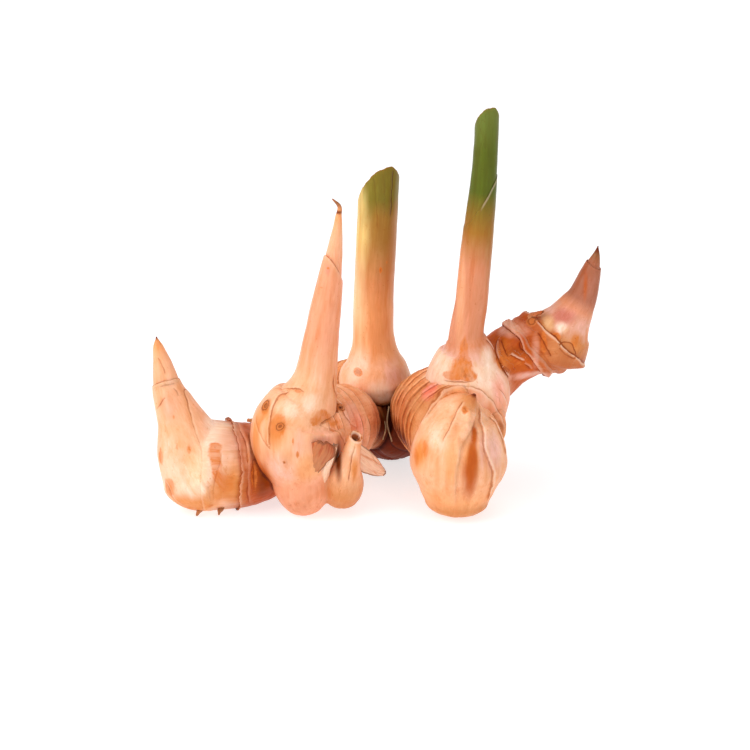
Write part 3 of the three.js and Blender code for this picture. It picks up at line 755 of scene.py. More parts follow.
# %% The lines
# step: how far the left side stands up, in mm, or the right side when it is negative; fade: how far back that is
# lost; groove and ridge: depth and height at the line; dark and pale: the brown line, and the light rim beside it,
# each one number or a few from the line's start to its end.
EDGES = {
    "left_seam": dict(step=-0.4, fade=7, dark=(0.2, 0.2, 0.15, 0.2, 0.7, 0.9, 0.6, 0.4, 0.2), pale=0.3, line=[
        (-70.8, -30, 1.5), (-70.6, -37.7, 4.2), (-70.8, -43.6, 15.5), (-70.4, -42.2, 21.8), (-70.2, -39.3, 27.9),
        (-72.3, -35.5, 34.6), (-74.4, -32.6, 40.4), (-76.1, -30.1, 45.9), (-77.7, -27, 50.5), (-77.4, -22.5, 48.5),
        (-74.8, -15, 39), (-72.5, -8.5, 28), (-71.5, -6.2, 18), (-71, -9, 8), (-70.8, -16, 2)]),
    "left_slit": dict(groove=0.1, dark=0.5, line=[
        (-87.7, -27.5, 65.4), (-86.5, -28.1, 63.5), (-84.6, -29, 58.4)]),
    "left_scratch_a": dict(dark=(0.3, 0.8, 0.2), line=[
        (-84.7, -31.4, 49.8), (-86.8, -31, 46.7), (-88.7, -29, 42.9)]),
    "left_scratch_b": dict(dark=(0.2, 0.6, 0.2), line=[
        (-81.9, -30.1, 53.4), (-80.6, -30, 51.8), (-79.9, -29.9, 49.5)]),
    "left_vein": dict(step=0.15, fade=4, dark=0.3, line=[
        (-62.3, -37.1, 29.2), (-63.8, -41.6, 22.4), (-65.4, -42.9, 17.8), (-66.2, -40.9, 9.1)]),
    "left_low": dict(step=0.25, fade=4, dark=0.5, pale=0.3, line=[
        (-88.5, -29, 19), (-85.5, -34, 15), (-83.5, -37.5, 11.5), (-81.5, -37.5, 8), (-78, -38, 4.5)]),
    "neck_ridge": dict(ridge=0.4, width=0.9, dark=0.6, pale=0.2, line=[
        (-58.5, -14, 33), (-55.6, -27, 33), (-53, -32.2, 29.5), (-52.3, -36.1, 24.5), (-52.3, -37.9, 18.7),
        (-52.1, -38, 10), (-52, -32, 3)]),
    "neck_crack": dict(groove=0.3, width=0.8, dark=0.6, line=[
        (-49.5, -24, 34), (-49.8, -31, 30.5), (-49.6, -36.3, 24.8), (-49.3, -38, 17), (-48.8, -37, 9)]),
    "crescent": dict(step=-0.45, fade=4, dark=(0.9, 0.8, 0.7, 0.6), pale=0.4, line=[
        (-34.7, -36.1, 54.8), (-37.5, -36.5, 52.2), (-40.3, -38.3, 49.9), (-42, -41.2, 46.3), (-42.3, -44.1, 42.7),
        (-42.4, -45.8, 38.3), (-41.9, -46.6, 33.9)]),
    "crescent_outer": dict(step=-0.25, fade=5, dark=(0.2, 0.4, 0.7), pale=0.2, line=[
        (-49, -35, 44.5), (-47.6, -38.9, 40.7), (-45.4, -43.8, 37.1), (-43.4, -45.8, 34.9), (-41.8, -46.6, 33.5)]),
    "centre_foot": dict(step=0.15, fade=5, dark=(0.1, 0.2, 0.3, 0.8, 0.8, 0.5), pale=0.2, line=[
        (-46, -29, 47.5), (-43, -30.3, 50.7), (-38.5, -31.9, 53.2), (-33.9, -36.2, 55.5), (-30.7, -38.3, 55.8),
        (-28.8, -39.4, 54.6)]),
    "leaf_scar": dict(step=0.3, fade=4, groove=0.2, dark=(0.7, 0.9, 0.9, 0.5, 0.3), pale=0.3, line=[
        (-17.6, -34.8, 61.7), (-17, -33.8, 54), (-16.2, -26.1, 45.2), (-14.2, -27.6, 43.2), (-12.2, -28.2, 40),
        (-9.8, -26.7, 36), (-7.8, -23.8, 33.1)]),
    "arm_line": dict(step=0.2, fade=4, dark=(0.1, 0.5, 0.4), pale=0.3, line=[
        (-21, -39.6, 39.5), (-18, -38.5, 37), (-13.5, -36.5, 33), (-10, -33, 28.5)]),
    "stem_crack": dict(groove=0.15, dark=1.0, line=[
        (6.5, 18.8, 131), (6.3, 18.8, 123.9), (5.9, 18.6, 117.6), (5.7, 18.7, 110)]),
    "stem_margin": dict(step=0.12, fade=3, dark=0.25, pale=0.0, line=[
        (-1.8, 17.2, 128), (-0.9, 16.9, 124), (-0.3, 16.7, 116), (0.3, 16.7, 104)]),
    "tall_base": dict(groove=0.35, width=0.7, dark=(0.3, 0.9, 0.9, 0.2), pale=0.0, line=[
        (26.6, -22.3, 53.7), (28.6, -23.4, 53.8), (31.3, -24.8, 54), (35.7, -25.5, 54.1), (39, -25, 54.3)]),
    "arc_inner": dict(step=0.6, fade=4.5, dark=0.6, pale=0.5, line=[
        (53, -22, 31), (51.6, -22.2, 35), (49, -22.9, 40), (45.6, -24.3, 46.1), (40.6, -25.3, 50.6),
        (35.7, -25.8, 52.2), (30.3, -26.2, 51.6), (25.8, -27.6, 49.4), (21.8, -29.6, 45.6), (18.2, -32.5, 40),
        (16, -34.4, 34)]),
    "arc_outer": dict(step=0.4, fade=4.5, dark=0.6, pale=0.5, line=[
        (54.5, -17, 33), (53, -17.5, 39), (50.5, -18.5, 44.8), (48, -20.5, 49.5)]),
    "furrow_left": dict(step=1.0, fade=9, dark=(0.0, 0.1, 0.2, 0.5, 0.9), pale=(0.1, 0.2, 0.4, 0.6), line=[
        (31, -50, 6), (31, -52.3, 14), (31.4, -52.6, 24.8), (32.3, -51.9, 30.1), (33.1, -50.1, 34.9),
        (34.6, -48.6, 37.7), (37, -45.3, 40.2), (38.4, -42.4, 42.6), (39.3, -38.5, 45), (39.4, -36.1, 48)]),
    "furrow_right": dict(step=-0.9, fade=7, dark=0.7, pale=0.8, line=[
        (47, -43, 6), (46.6, -46, 14), (45.2, -47.3, 25.5), (43.5, -47.4, 29.5), (41.9, -46.8, 33.5),
        (41.8, -45.1, 36.7), (41.6, -40.9, 41.9), (41, -36.5, 44.5), (40.5, -33, 47)]),
    "horn_crease": dict(step=0.35, fade=4, groove=0.2, dark=0.6, pale=0.4, line=[
        (34.6, -36.1, 49.9), (32.1, -39, 47.6), (30.4, -42.7, 45.2), (28.4, -45.1, 41.8), (25.2, -47.9, 35.7)]),
    "horn": dict(ridge=1.0, width=1.6, line=[
        (31.8, -50.6, 34.5), (34.6, -47.8, 38.5), (37, -44.6, 41.2), (38.2, -41.5, 44), (38.8, -38, 47)]),
    "bud_side": dict(step=-0.6, fade=4, dark=0.7, pale=0.4, line=[
        (51.3, -37, 26), (51, -37.7, 31), (50, -36.7, 34.7), (48.4, -36, 37.9), (46.8, -34.3, 40.2),
        (44.8, -31.7, 42.4)]),
    "small_stripe": dict(groove=0.25, width=0.5, dark=(0.4, 0.9, 0.9), line=[
        (-8.1, -46.5, 35.3), (-10.1, -46.5, 29.4), (-10.5, -46.5, 25.1), (-10.8, -47, 19)]),
    "branch_split": dict(groove=0.5, width=0.5, dark=1.0, line=[
        (50.2, -5.4, 65.9), (51, -7.4, 64.4), (52.1, -9.7, 61.3), (53.7, -10.9, 59.6)]),
    "branch_nick": dict(groove=0.4, width=0.5, dark=1.0, line=[
        (57.5, -10.9, 66), (58.2, -11.6, 64), (60, -12, 62.5)]),
    "branch_tear": dict(groove=0.3, width=0.5, dark=(0.3, 0.9, 0.5), pale=0.4, line=[
        (59.8, -11.6, 56.4), (61.6, -11.8, 55.4), (62.6, -11.6, 53.4)]),
    "branch_scuff": dict(groove=0.2, width=0.5, dark=(0.3, 0.8, 0.3), line=[
        (49.4, -9.6, 58.4), (51.2, -10.8, 56), (54.6, -11.6, 53.8)]),
    "branch_crack": dict(groove=0.25, dark=0.7, pale=0.9, line=[
        (54.1, -10.9, 60.9), (55.8, -11.4, 59.7), (58.2, -11.4, 58.4), (59.9, -11.4, 57.6)]),
    "branch_back": dict(ridge=0.4, width=0.7, dark=0.9, pale=0.8, line=[
        (43.5, -13.2, 68), (45.9, -11.4, 64.9), (48.9, -9.8, 59.5), (51.8, -11.3, 54.1), (53.9, -11.2, 50.1)]),
    "branch_fold": dict(groove=0.9, ridge=0.8, width=0.8, dark=0.9, pale=0.35,
        plane=((63.4, -14, 65.4), (0.78, 0.2, 0.59)), wobble=(1.3, 6)),
    "branch_margin": dict(step=-0.8, fade=3.2, dark=1.0, pale=0.6,
        plane=((61.2, -14, 62.6), (0.78, 0.2, 0.59)), wobble=(1.5, 7)),
    "branch_groove": dict(groove=0.7, width=0.9, dark=0.7, line=[
        (64.9, -10.5, 70.6), (66.5, -12.1, 68.6), (68.1, -13.7, 65.7), (69.7, -14.5, 62.1), (71, -14.3, 59.9)]),
    "branch_lip": dict(step=1.1, fade=4, dark=0.9, pale=0.9,
        plane=((75.2, -11.5, 65.2), (0.67, 0.18, 0.72)), wobble=(0.7, 6)),
    "branch_scar": dict(groove=0.35, width=0.5, dark=0.8, line=[
        (73.4, -12.8, 65.2), (75.6, -12.3, 66.6), (78.3, -11.5, 65.9), (80.3, -10.6, 62.6), (80.4, -10.4, 60.2)]),
    "branch_scar_low": dict(groove=0.25, width=0.4, dark=0.6, line=[
        (73.6, -12.9, 64.6), (75.6, -12.5, 62.4), (78, -11.8, 60.4), (80.2, -10.5, 59.8)]),
}
MESH_EDGE = 0.4  # mm on each side of a line over which a step rises: about as sharp as the mesh can show
REACH = 9.0  # mm from a line within which the skin knows of it
PER_PIECE = 14  # steps of a line from one of its points to the next
WANDER = (0.35, 3.5)  # how far a line wanders, in mm, and over what length


def cut_plane(cut):
    """A cut's point, and its direction with a length of 1."""
    point, way = (np.array(v, float) for v in cut)
    return point, way / np.linalg.norm(way)


def beside(line, points, facing):
    """Which points are near a line, their signed distance from it, how far along it, and a share that ends softly."""
    line = through(line, np.linspace(0, len(line) - 1, PER_PIECE * (len(line) - 1) + 1))
    low, high = line.min(0) - REACH, line.max(0) + REACH
    held = np.nonzero(((points > low) & (points < high)).all(1))[0]
    if not len(held):
        return held, held, held, held
    off = points[held][:, None] - line[None]
    near = (off**2).sum(2).argmin(1)
    off = off[np.arange(len(held)), near]
    way = np.gradient(line, axis=0)[near]
    way /= np.linalg.norm(way, axis=1)[:, None]
    beyond = np.maximum(np.abs((off * way).sum(1)) - 0.5, 0) * ((near == 0) | (near == len(line) - 1))
    left = np.cross(facing[held], way)
    left /= np.maximum(np.linalg.norm(left, axis=1), 1e-6)[:, None]
    signed = (off * left).sum(1)
    away = np.linalg.norm(off, axis=1)
    along = near / (len(line) - 1)
    soft = smooth(0, 0.1, along) * smooth(1, 0.9, along)
    soft *= smooth(2, 0, beyond) * smooth(REACH, 0.6 * REACH, away)
    return held, signed, along, soft


def varied(edge, key, along):
    """A value of an edge that may change along its line."""
    values = np.atleast_1d(edge.get(key, 0.0)).astype(float)
    return np.interp(along, np.linspace(0, 1, len(values)), values)


def edged(points, facing, rims=(), under=(), over=(), dive=1.0):
    """The relief of the lines near these points, and for the shader the nearest one's distance, dark and pale.

    `under` names edges that this skin slips under, and `over` names those where it ends.
    """
    height = np.zeros(len(points))
    drawn = np.tile((REACH, 0.0, 0.0), (len(points), 1))
    nearest = np.full(len(points), REACH)
    for number, (name, edge) in enumerate(EDGES.items()):
        if "plane" in edge:
            if name not in rims:
                continue
            held = np.arange(len(points))
            point, way = cut_plane(edge["plane"])
            signed = -(points - point) @ way
            along, soft = np.zeros(len(points)), np.ones(len(points))
        else:
            held, signed, along, soft = beside(edge["line"], points, facing)
            if not len(held):
                continue
        strong, size = edge.get("wobble", WANDER)
        signed = signed + strong * noise(points[held], size, 60 + number) + 0.12 * noise(points[held], 1.3, 61)
        away = np.abs(signed)
        if edge.get("step", 1) < 0:
            signed = -signed
        fade, width = edge.get("fade", 5), edge.get("width", 0.6)
        rise = smooth(-MESH_EDGE, MESH_EDGE, signed) * smooth(fade, 0.15 * fade, signed)
        rise *= abs(edge.get("step", 0))
        rise -= edge.get("groove", 0) * np.exp(-((signed / width) ** 2))
        rise += edge.get("ridge", 0) * np.exp(-(((signed - 1.3 * width) / width) ** 2))
        if name in under:
            rise -= 0.9 * smooth(-0.1, 0.9, signed) * np.maximum(smooth(0.1, 0.35, along), "plane" in edge)
        if name in over:
            rise -= dive * smooth(0.3, -0.6, signed)
        height[held] += soft * rise
        away += 3 * (soft < 0.05)
        closer = away < nearest[held]
        chosen = held[closer]
        nearest[chosen] = away[closer]
        drawn[chosen, 0] = signed[closer]
        drawn[chosen, 1] = (varied(edge, "dark", along) * soft)[closer]
        drawn[chosen, 2] = (varied(edge, "pale", along) * soft)[closer]
    return height, drawn


print(len(EDGES), "edges, folds and scratches")

# %% [markdown]
# ## Relief
#
# The relief is how far the skin stands in or out from the smooth lobe: broad lumps, fine wrinkles along the growth,
# saw-tooth rings, and a small crater at each root scar. It is a function of place alone, so two skins that meet have
# the same relief where they meet.


# %% The relief and the vertex data
def relief(lobe, points, straight, run, calm):
    """Millimetres outwards. `calm` is 1 on a smooth young shoot and 0 on an old lobe."""
    lumps = 0.35 * noise(points, 11, 4) + 0.16 * noise(points, 4.6, 5)
    creases = -0.2 * (1 - np.abs(noise(straight * (1, 1, 0.3), 3.2, 6))) ** 6
    height = (lumps + creases) * (1 - 0.72 * calm)
    count = ring_count(lobe.name, run, straight)
    part = count - np.floor(count)
    tall = ring_height(lobe.name, run) * np.clip(0.8 + 0.8 * noise(straight, 9, 7), 0.1, 1.5)
    height += tall * (smooth(0, 0.8, part) * smooth(1.0, 0.8, part) - 0.5)
    scar = scarred(points)
    height += 0.5 * smooth(0, 0.35, scar) - 0.7 * smooth(0.4, 0.95, scar)
    return height


def write(mesh, name, rows):
    kind = "FLOAT_COLOR" if name == "tone" else "FLOAT_VECTOR"
    attribute = mesh.attributes.get(name) or mesh.attributes.new(name, kind, "POINT")
    if kind == "FLOAT_COLOR":
        rows = np.column_stack([np.clip(rows, 0, 1), np.ones(len(rows))])
    attribute.data.foreach_set("color" if kind == "FLOAT_COLOR" else "vector", rows.astype(np.float32).ravel())


FLOOR_GAP = 0.02  # mm, so nothing sinks into the floor


def above_floor(points):
    points[:, 2] = np.maximum(points[:, 2], FLOOR_GAP)
    return points


def coordinates(mesh):
    values = np.empty(len(mesh.vertices) * 3, np.float32)
    mesh.vertices.foreach_get("co", values)
    return values.reshape(-1, 3).astype(float)


def move(mesh, points):
    """Puts a mesh's vertices at these points, given in millimetres."""
    mesh.vertices.foreach_set("co", (points * MM).astype(np.float32).ravel())
    mesh.update()


def finished(mesh, name, material, slot, *nodes):
    """Turns a mesh into a piece of the root, which stands for its CAD nodes."""
    mesh.name = name
    mesh.materials.append(material)
    mesh.shade_smooth()
    piece = bpy.data.objects.new(name, mesh)
    bpy.context.scene.collection.objects.link(piece)
    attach(piece, "root")
    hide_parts(*nodes)
    triangles = sum(len(face.vertices) - 2 for face in mesh.polygons)
    print(f"{name}: {triangles} triangles, for {', '.join(nodes)}")
    return piece


print("relief, vertex data and finishing are ready")

# %% [markdown]
# ## Turning a lobe on the lathe
#
# A lobe is a turned form that has been bent, so it is made on a lathe and bent afterwards. The profile is a line of
# vertices, one for each row, and the bmesh operator spin sweeps it once round. Each vertex then knows its row and its
# turn, and moves to that place on the curved axis. Rows can also fold back into the lobe, which gives a sheath a rim
# with real thickness and a hollow for the shoot inside it. The spin leaves double vertices at the axis and where it
# closes, so they are merged, and the faces are made to look outwards before the form is bent.


# %% The lathe
@contextmanager
def edited(mesh):
    """A mesh as a bmesh, to work on with bmesh operators; they change the mesh when the block ends."""
    bm = bmesh.new()
    bm.from_mesh(mesh)
    yield bm
    bm.to_mesh(mesh)
    bm.free()


def spun(name, radii, around, closed=False):
    """A profile with these radii swept once round. Returns the mesh, and each vertex's row and turn."""
    mesh = bpy.data.meshes.new(name)
    with edited(mesh) as bm:
        line = [bm.verts.new((radius, 0, i)) for i, radius in enumerate(radii)]
        following = [*line[1:], line[0]] if closed else line[1:]
        edges = [bm.edges.new(pair) for pair in zip(line, following)]
        bmesh.ops.spin(
            bm, geom=line + edges, cent=(0, 0, 0), axis=(0, 0, 1), dvec=(0, 0, 0),
            angle=2 * math.pi, steps=around, use_merge=True,
        )
        bmesh.ops.remove_doubles(bm, verts=bm.verts, dist=1e-4)
        bmesh.ops.recalc_face_normals(bm, faces=bm.faces)
        bmesh.ops.reverse_faces(bm, faces=bm.faces)  # a lobe's turn runs the other way, which mirrors them
    where = coordinates(mesh)
    return mesh, np.rint(where[:, 2]).astype(int), np.arctan2(where[:, 1], where[:, 0])


def turned(lobe, rows, around, start=0.0, end=None):
    """A closed skin round a lobe. A row is (share of the way from start to end, mm thinner, mm further along).

    Thinner by None is the axis itself. Start and end are distances along the axis, or functions of the turn.
    """
    mesh, row, turn = spun(lobe.name, [0 if thinner is None else 1 for _, thinner, _ in rows], around)
    share, thinner, further = np.array(rows, float).T
    first = start(turn) if callable(start) else np.full(len(turn), float(start))
    last = end(turn) if callable(end) else np.full(len(turn), float(lobe.length if end is None else end))
    run = first + (last - first) * share[row] + further[row]
    radius = lobe.at(lobe.radius, run) - thinner[row]
    pole = np.isnan(thinner[row])
    for i in set(row[pole]):
        run[pole & (row == i)] = (first.mean(), last.mean())[int(share[i] > 0.5)] + further[i]
    radius[pole] = 0
    return mesh, row, run, turn, np.maximum(radius, 0.02 * ~pole)


TURNS = np.linspace(-math.pi, math.pi, 97)  # the turns at which a cut is found


def crossing(lobe, cut):
    """The distance along the lobe where each side of it meets a cut, as a function of the turn."""
    point, way = cut_plane(cut)
    runs = np.linspace(0, lobe.length, 400)
    found = []
    for turn in TURNS:
        side = lobe.place(runs, np.full(len(runs), turn), lobe.at(lobe.radius, runs))
        height = (side - point) @ way
        cross = np.nonzero((height[:-1] < 0) & (height[1:] >= 0))[0]
        i = cross[-1] if len(cross) else len(runs) // 2
        found.append(runs[i] + (runs[i + 1] - runs[i]) * -height[i] / (height[i + 1] - height[i]))
    return lambda turn: np.interp(turn, TURNS, found)


def poled(between):
    """Rows at these shares of the way, with the axis at both ends, which closes the skin."""
    return [(0, None, 0), *((float(share), 0.0, 0.0) for share in between), (1, None, 0)]


CUTS = {
    "left_foot": ((-73.8, -35, 27.4), (-0.98, -0.13, -0.11)),
    "left_lip": ((-84.6, -25, 54), (-0.25, 0.4, 0.88)),
    "centre_foot": ((-28.6, -30, 48), (0.25, 0, 0.97)),
    "centre_lip": ((-17.3, -34.5, 107.4), (0.738, 0.458, 0.497)),
    "middle_foot": ((-0.7, 25, 31), (0, 0, 1)),
    "middle_top": ((0.6, 25, 120), (-0.338, 0.737, 0.585)),
    "tall_foot": ((36, -10, 41), (0, 0, 1)),
    "tall_lip": ((41.4, -15.5, 125), (-0.851, -0.087, 0.518)),
    "tall_top": ((43.2, -10, 157.4), (-0.207, 0.781, 0.59)),
    "branch_foot": ((74.9, -11.5, 66.3), (0.69, 0.18, 0.7)),
    "branch_lip": ((88.2, 0, 95.5), (0.5, -0.1, 0.85)),
    "front_foot": ((34.2, -32.5, 42), (0.15, 0.1, 0.98)),
    "small_foot": ((-11.6, -39.5, 18.5), (0.15, -0.25, 0.95)),
    "small_mouth": ((-8.3, -44.3, 38), (0.3, -0.5, 0.81)),
    "neck_low": ((-52.3, -37.5, 18), (-1, -0.34, 0.03)),
    "neck_high": ((-55.4, -38.5, 20), (-0.97, -0.25, 0)),
    "branch_margin": ((61.2, -14, 62.6), (0.78, 0.2, 0.59)),
}
print(len(CUTS), "cuts across the lobes")

# %% [markdown]
# ## Joining lobes into one skin
#
# Where two lobes of a root meet, the skin runs from one to the other with a soft crease. Overlapping meshes would
# meet in a hard line instead. So the turned lobes are joined and given Blender's voxel remesh, which keeps only their
# common outside. A little smoothing rounds the creases. The remesh forgets which lobe a point came from, so the
# lobes are asked again: the one whose surface is nearest owns the point, and near a border the neighbours share it.


# %% Remeshed skins
def remeshed(meshes, voxel, smoothing):
    """One closed mesh from several that overlap."""
    joined = bpy.data.meshes.new("joined")
    with edited(joined) as bm:
        for mesh in meshes:
            bm.from_mesh(mesh)
            bpy.data.meshes.remove(mesh)
    holder = bpy.data.objects.new("joined", joined)
    bpy.context.scene.collection.objects.link(holder)
    remesh = holder.modifiers.new("skin", "REMESH")
    remesh.mode = "VOXEL"
    remesh.voxel_size = voxel * MM
    evaluated = holder.evaluated_get(bpy.context.evaluated_depsgraph_get())
    skin = bpy.data.meshes.new_from_object(evaluated)
    bpy.data.objects.remove(holder)
    bpy.data.meshes.remove(joined)
    with edited(skin) as bm:
        for _ in range(smoothing):
            bmesh.ops.smooth_vert(
                bm, verts=bm.verts, factor=0.5, use_axis_x=True, use_axis_y=True, use_axis_z=True
            )
    return skin


def normals_of(mesh):
    values = np.empty(len(mesh.vertices) * 3, np.float32)
    mesh.vertex_normals.foreach_get("vector", values)
    return values.reshape(-1, 3).astype(float)


# How smooth each lobe's skin is from its foot to its tip: 0 for an old, lumpy lobe, 1 for a young shoot.
CALM = {
    "left_neck": [(0, 0.1), (30, 0.5), (50, 0.7)],
    "left": [(0, 0.6), (30, 0.8), (50, 1)],
    "centre_body": [(0, 0.3)],
    "centre": [(0, 0.4), (25, 0.6), (40, 0.85), (60, 1)],
    "rear_knot": [(0, 0)],
    "middle": [(0, 0.5), (18, 0.8), (30, 1)],
    "right_body": [(0, 0.2)],
    "tall": [(0, 0.5), (30, 0.8), (45, 1)],
    "front": [(0, 0.5), (45, 0.8)],
    "branch_body": [(0, 0.0)],
    "branch": [(0, 0.2), (12, 0.7), (25, 1)],
    "small": [(0, 0.3)],
}
BORDER = 0.9  # mm over which neighbouring lobes share the skin
CREASE = 1.5  # mm from another lobe within which the skin is darkened: dirt, and painted shade in the crease
NO_CREASE_DARKENING = ("left", "branch", "small", "tall", "front")  # no dirt or painted shade darkens the creases where these grow out of the rhizome


def calm_at(lobe, run):
    return np.interp(run, *np.array(CALM[lobe.name] + [(999, CALM[lobe.name][-1][1])], float).T)


def keep_data(mesh, lobes, points, facing, place, height, tone, dirt_and_shade, drawn):
    """Moves a skin's vertices out by their relief and stores what the shader needs there.

    `place` is for each lobe: which points it owns, and their run and turn.
    """
    move(mesh, above_floor(points + facing * height[:, None]))
    grain, rings = np.zeros((len(points), 3)), np.zeros((len(points), 3))
    for lobe, (own, run, turn) in zip(lobes, place):
        straight = straightened(lobe, run, turn, lobe.at(lobe.radius, run))[own]
        run = run[own]
        grain[own] = straight * MM
        rings[own] = np.column_stack(
            [ring_count(lobe.name, run, straight), ring_height(lobe.name, run), calm_at(lobe, run)]
        )
    write(mesh, "grain", grain)
    write(mesh, "rings", rings)
    write(mesh, "marks", np.column_stack([stained(points), dirt_and_shade, scarred(points)]))
    write(mesh, "edges", drawn)
    write(mesh, "tone", blushed(tone, points))


def grow_skin(mesh, names, grow=0.0, neighbours=(), **edges):
    """Gives a remeshed skin its relief and its vertex data, from the lobes it was joined from."""
    points = coordinates(mesh) / MM
    facing = normals_of(mesh)
    found = [LOBES[name].around(points) for name in names]
    outside = np.column_stack([np.abs(away - grow) for _, _, away in found])
    nearest = outside.min(1)
    weights = np.exp(-((outside - nearest[:, None]) / BORDER))
    weights[weights < 0.02] = 0
    weights /= weights.sum(1)[:, None]
    height, tone = np.zeros(len(points)), np.zeros((len(points), 3))
    outward = []
    for k, (name, (run, turn, _)) in enumerate(zip(names, found)):
        lobe = LOBES[name]
        spread = lobe.place(run, turn, np.full(len(run), 1.0)) - lobe.at(lobe.axis, run)
        outward.append(spread / np.maximum(np.linalg.norm(spread, axis=1), 1e-6)[:, None])
        held = weights[:, k] > 0
        share = weights[held, k]
        straight = straightened(lobe, run[held], turn[held], lobe.at(lobe.radius, run[held]))
        height[held] += share * relief(lobe, points[held], straight, run[held], calm_at(lobe, run[held]))
        tone[held] += share[:, None] * lobe_tone(lobe, run[held])
    outward = np.array(outward)
    ordered = np.argsort(outside, axis=1)
    everyone = np.arange(len(points))
    first, second = (outward[ordered[:, k], everyone] for k in (0, 1))
    gap = outside[everyone, ordered[:, 1]] - nearest
    # darker in the crease between two lobes and next to the other half's lobes: dirt with painted shade
    dirt_and_shade = np.exp(-((gap / CREASE) ** 2)) * smooth(0.15, 0.7, 1 - (first * second).sum(1))
    undarkened = np.array([name in NO_CREASE_DARKENING for name in names])
    dirt_and_shade *= ~(undarkened[ordered[:, 0]] | undarkened[ordered[:, 1]])
    for name in neighbours:
        _, _, away = LOBES[name].around(points)
        dirt_and_shade = np.maximum(dirt_and_shade, np.exp(-((np.maximum(away, 0) / CREASE) ** 2)))
    step, drawn = edged(points, facing, **edges)
    place = [(ordered[:, 0] == k, run, turn) for k, (run, turn, _) in enumerate(found)]
    keep_data(mesh, [LOBES[n] for n in names], points, facing, place, height + step - 0.25 * dirt_and_shade, tone, dirt_and_shade, drawn)


def dress_tube(mesh, lobe, row, run, turn, radius, grow=0.0, cut_from=None, cut_tone=None, height=0.0, **edges):
    """Places a turned skin, gives it relief and stores its vertex data. Rows from `cut_from` on are a cut face."""
    points = lobe.place(run, turn, np.maximum(radius + grow, 0.6 * radius) * (radius > 0))
    move(mesh, points)
    facing = normals_of(mesh)
    straight = straightened(lobe, run, turn, lobe.at(lobe.radius, run))
    skin = np.ones(len(row), bool) if cut_from is None else row < cut_from
    step, drawn = edged(points, facing, **edges)
    height = (height + relief(lobe, points, straight, run, calm_at(lobe, run)) + step) * skin
    place = [(np.ones(len(row), bool), run, turn)]
    keep_data(mesh, [lobe], points, facing, place, height, lobe_tone(lobe, run), np.zeros(len(row)), drawn)
    if cut_tone:
        tone = blushed(lobe_tone(lobe, run), points)
        tone[~skin] = cut_tone(radius[~skin], turn[~skin])
        write(mesh, "tone", tone)


EVERYWHERE = (-999, -998)


def rim_line(mesh, cut, dark=0.8, pale=0.15, reach=1.6, lost=EVERYWHERE):
    """Adds the thin brown line below a lip to a skin's edges. It is lost towards the lower x of the two given."""
    point, way = cut_plane(CUTS[cut])
    points = coordinates(mesh) / MM
    below = (point - points) @ way
    seen = smooth(*lost, points[:, 0])
    values = np.empty(len(mesh.vertices) * 3, np.float32)
    mesh.attributes["edges"].data.foreach_get("vector", values)
    drawn = values.reshape(-1, 3)
    near = below < reach
    drawn[near] = np.column_stack([below, dark * seen, pale * seen])[near]
    write(mesh, "edges", drawn)


print("skins can be joined, and grown")
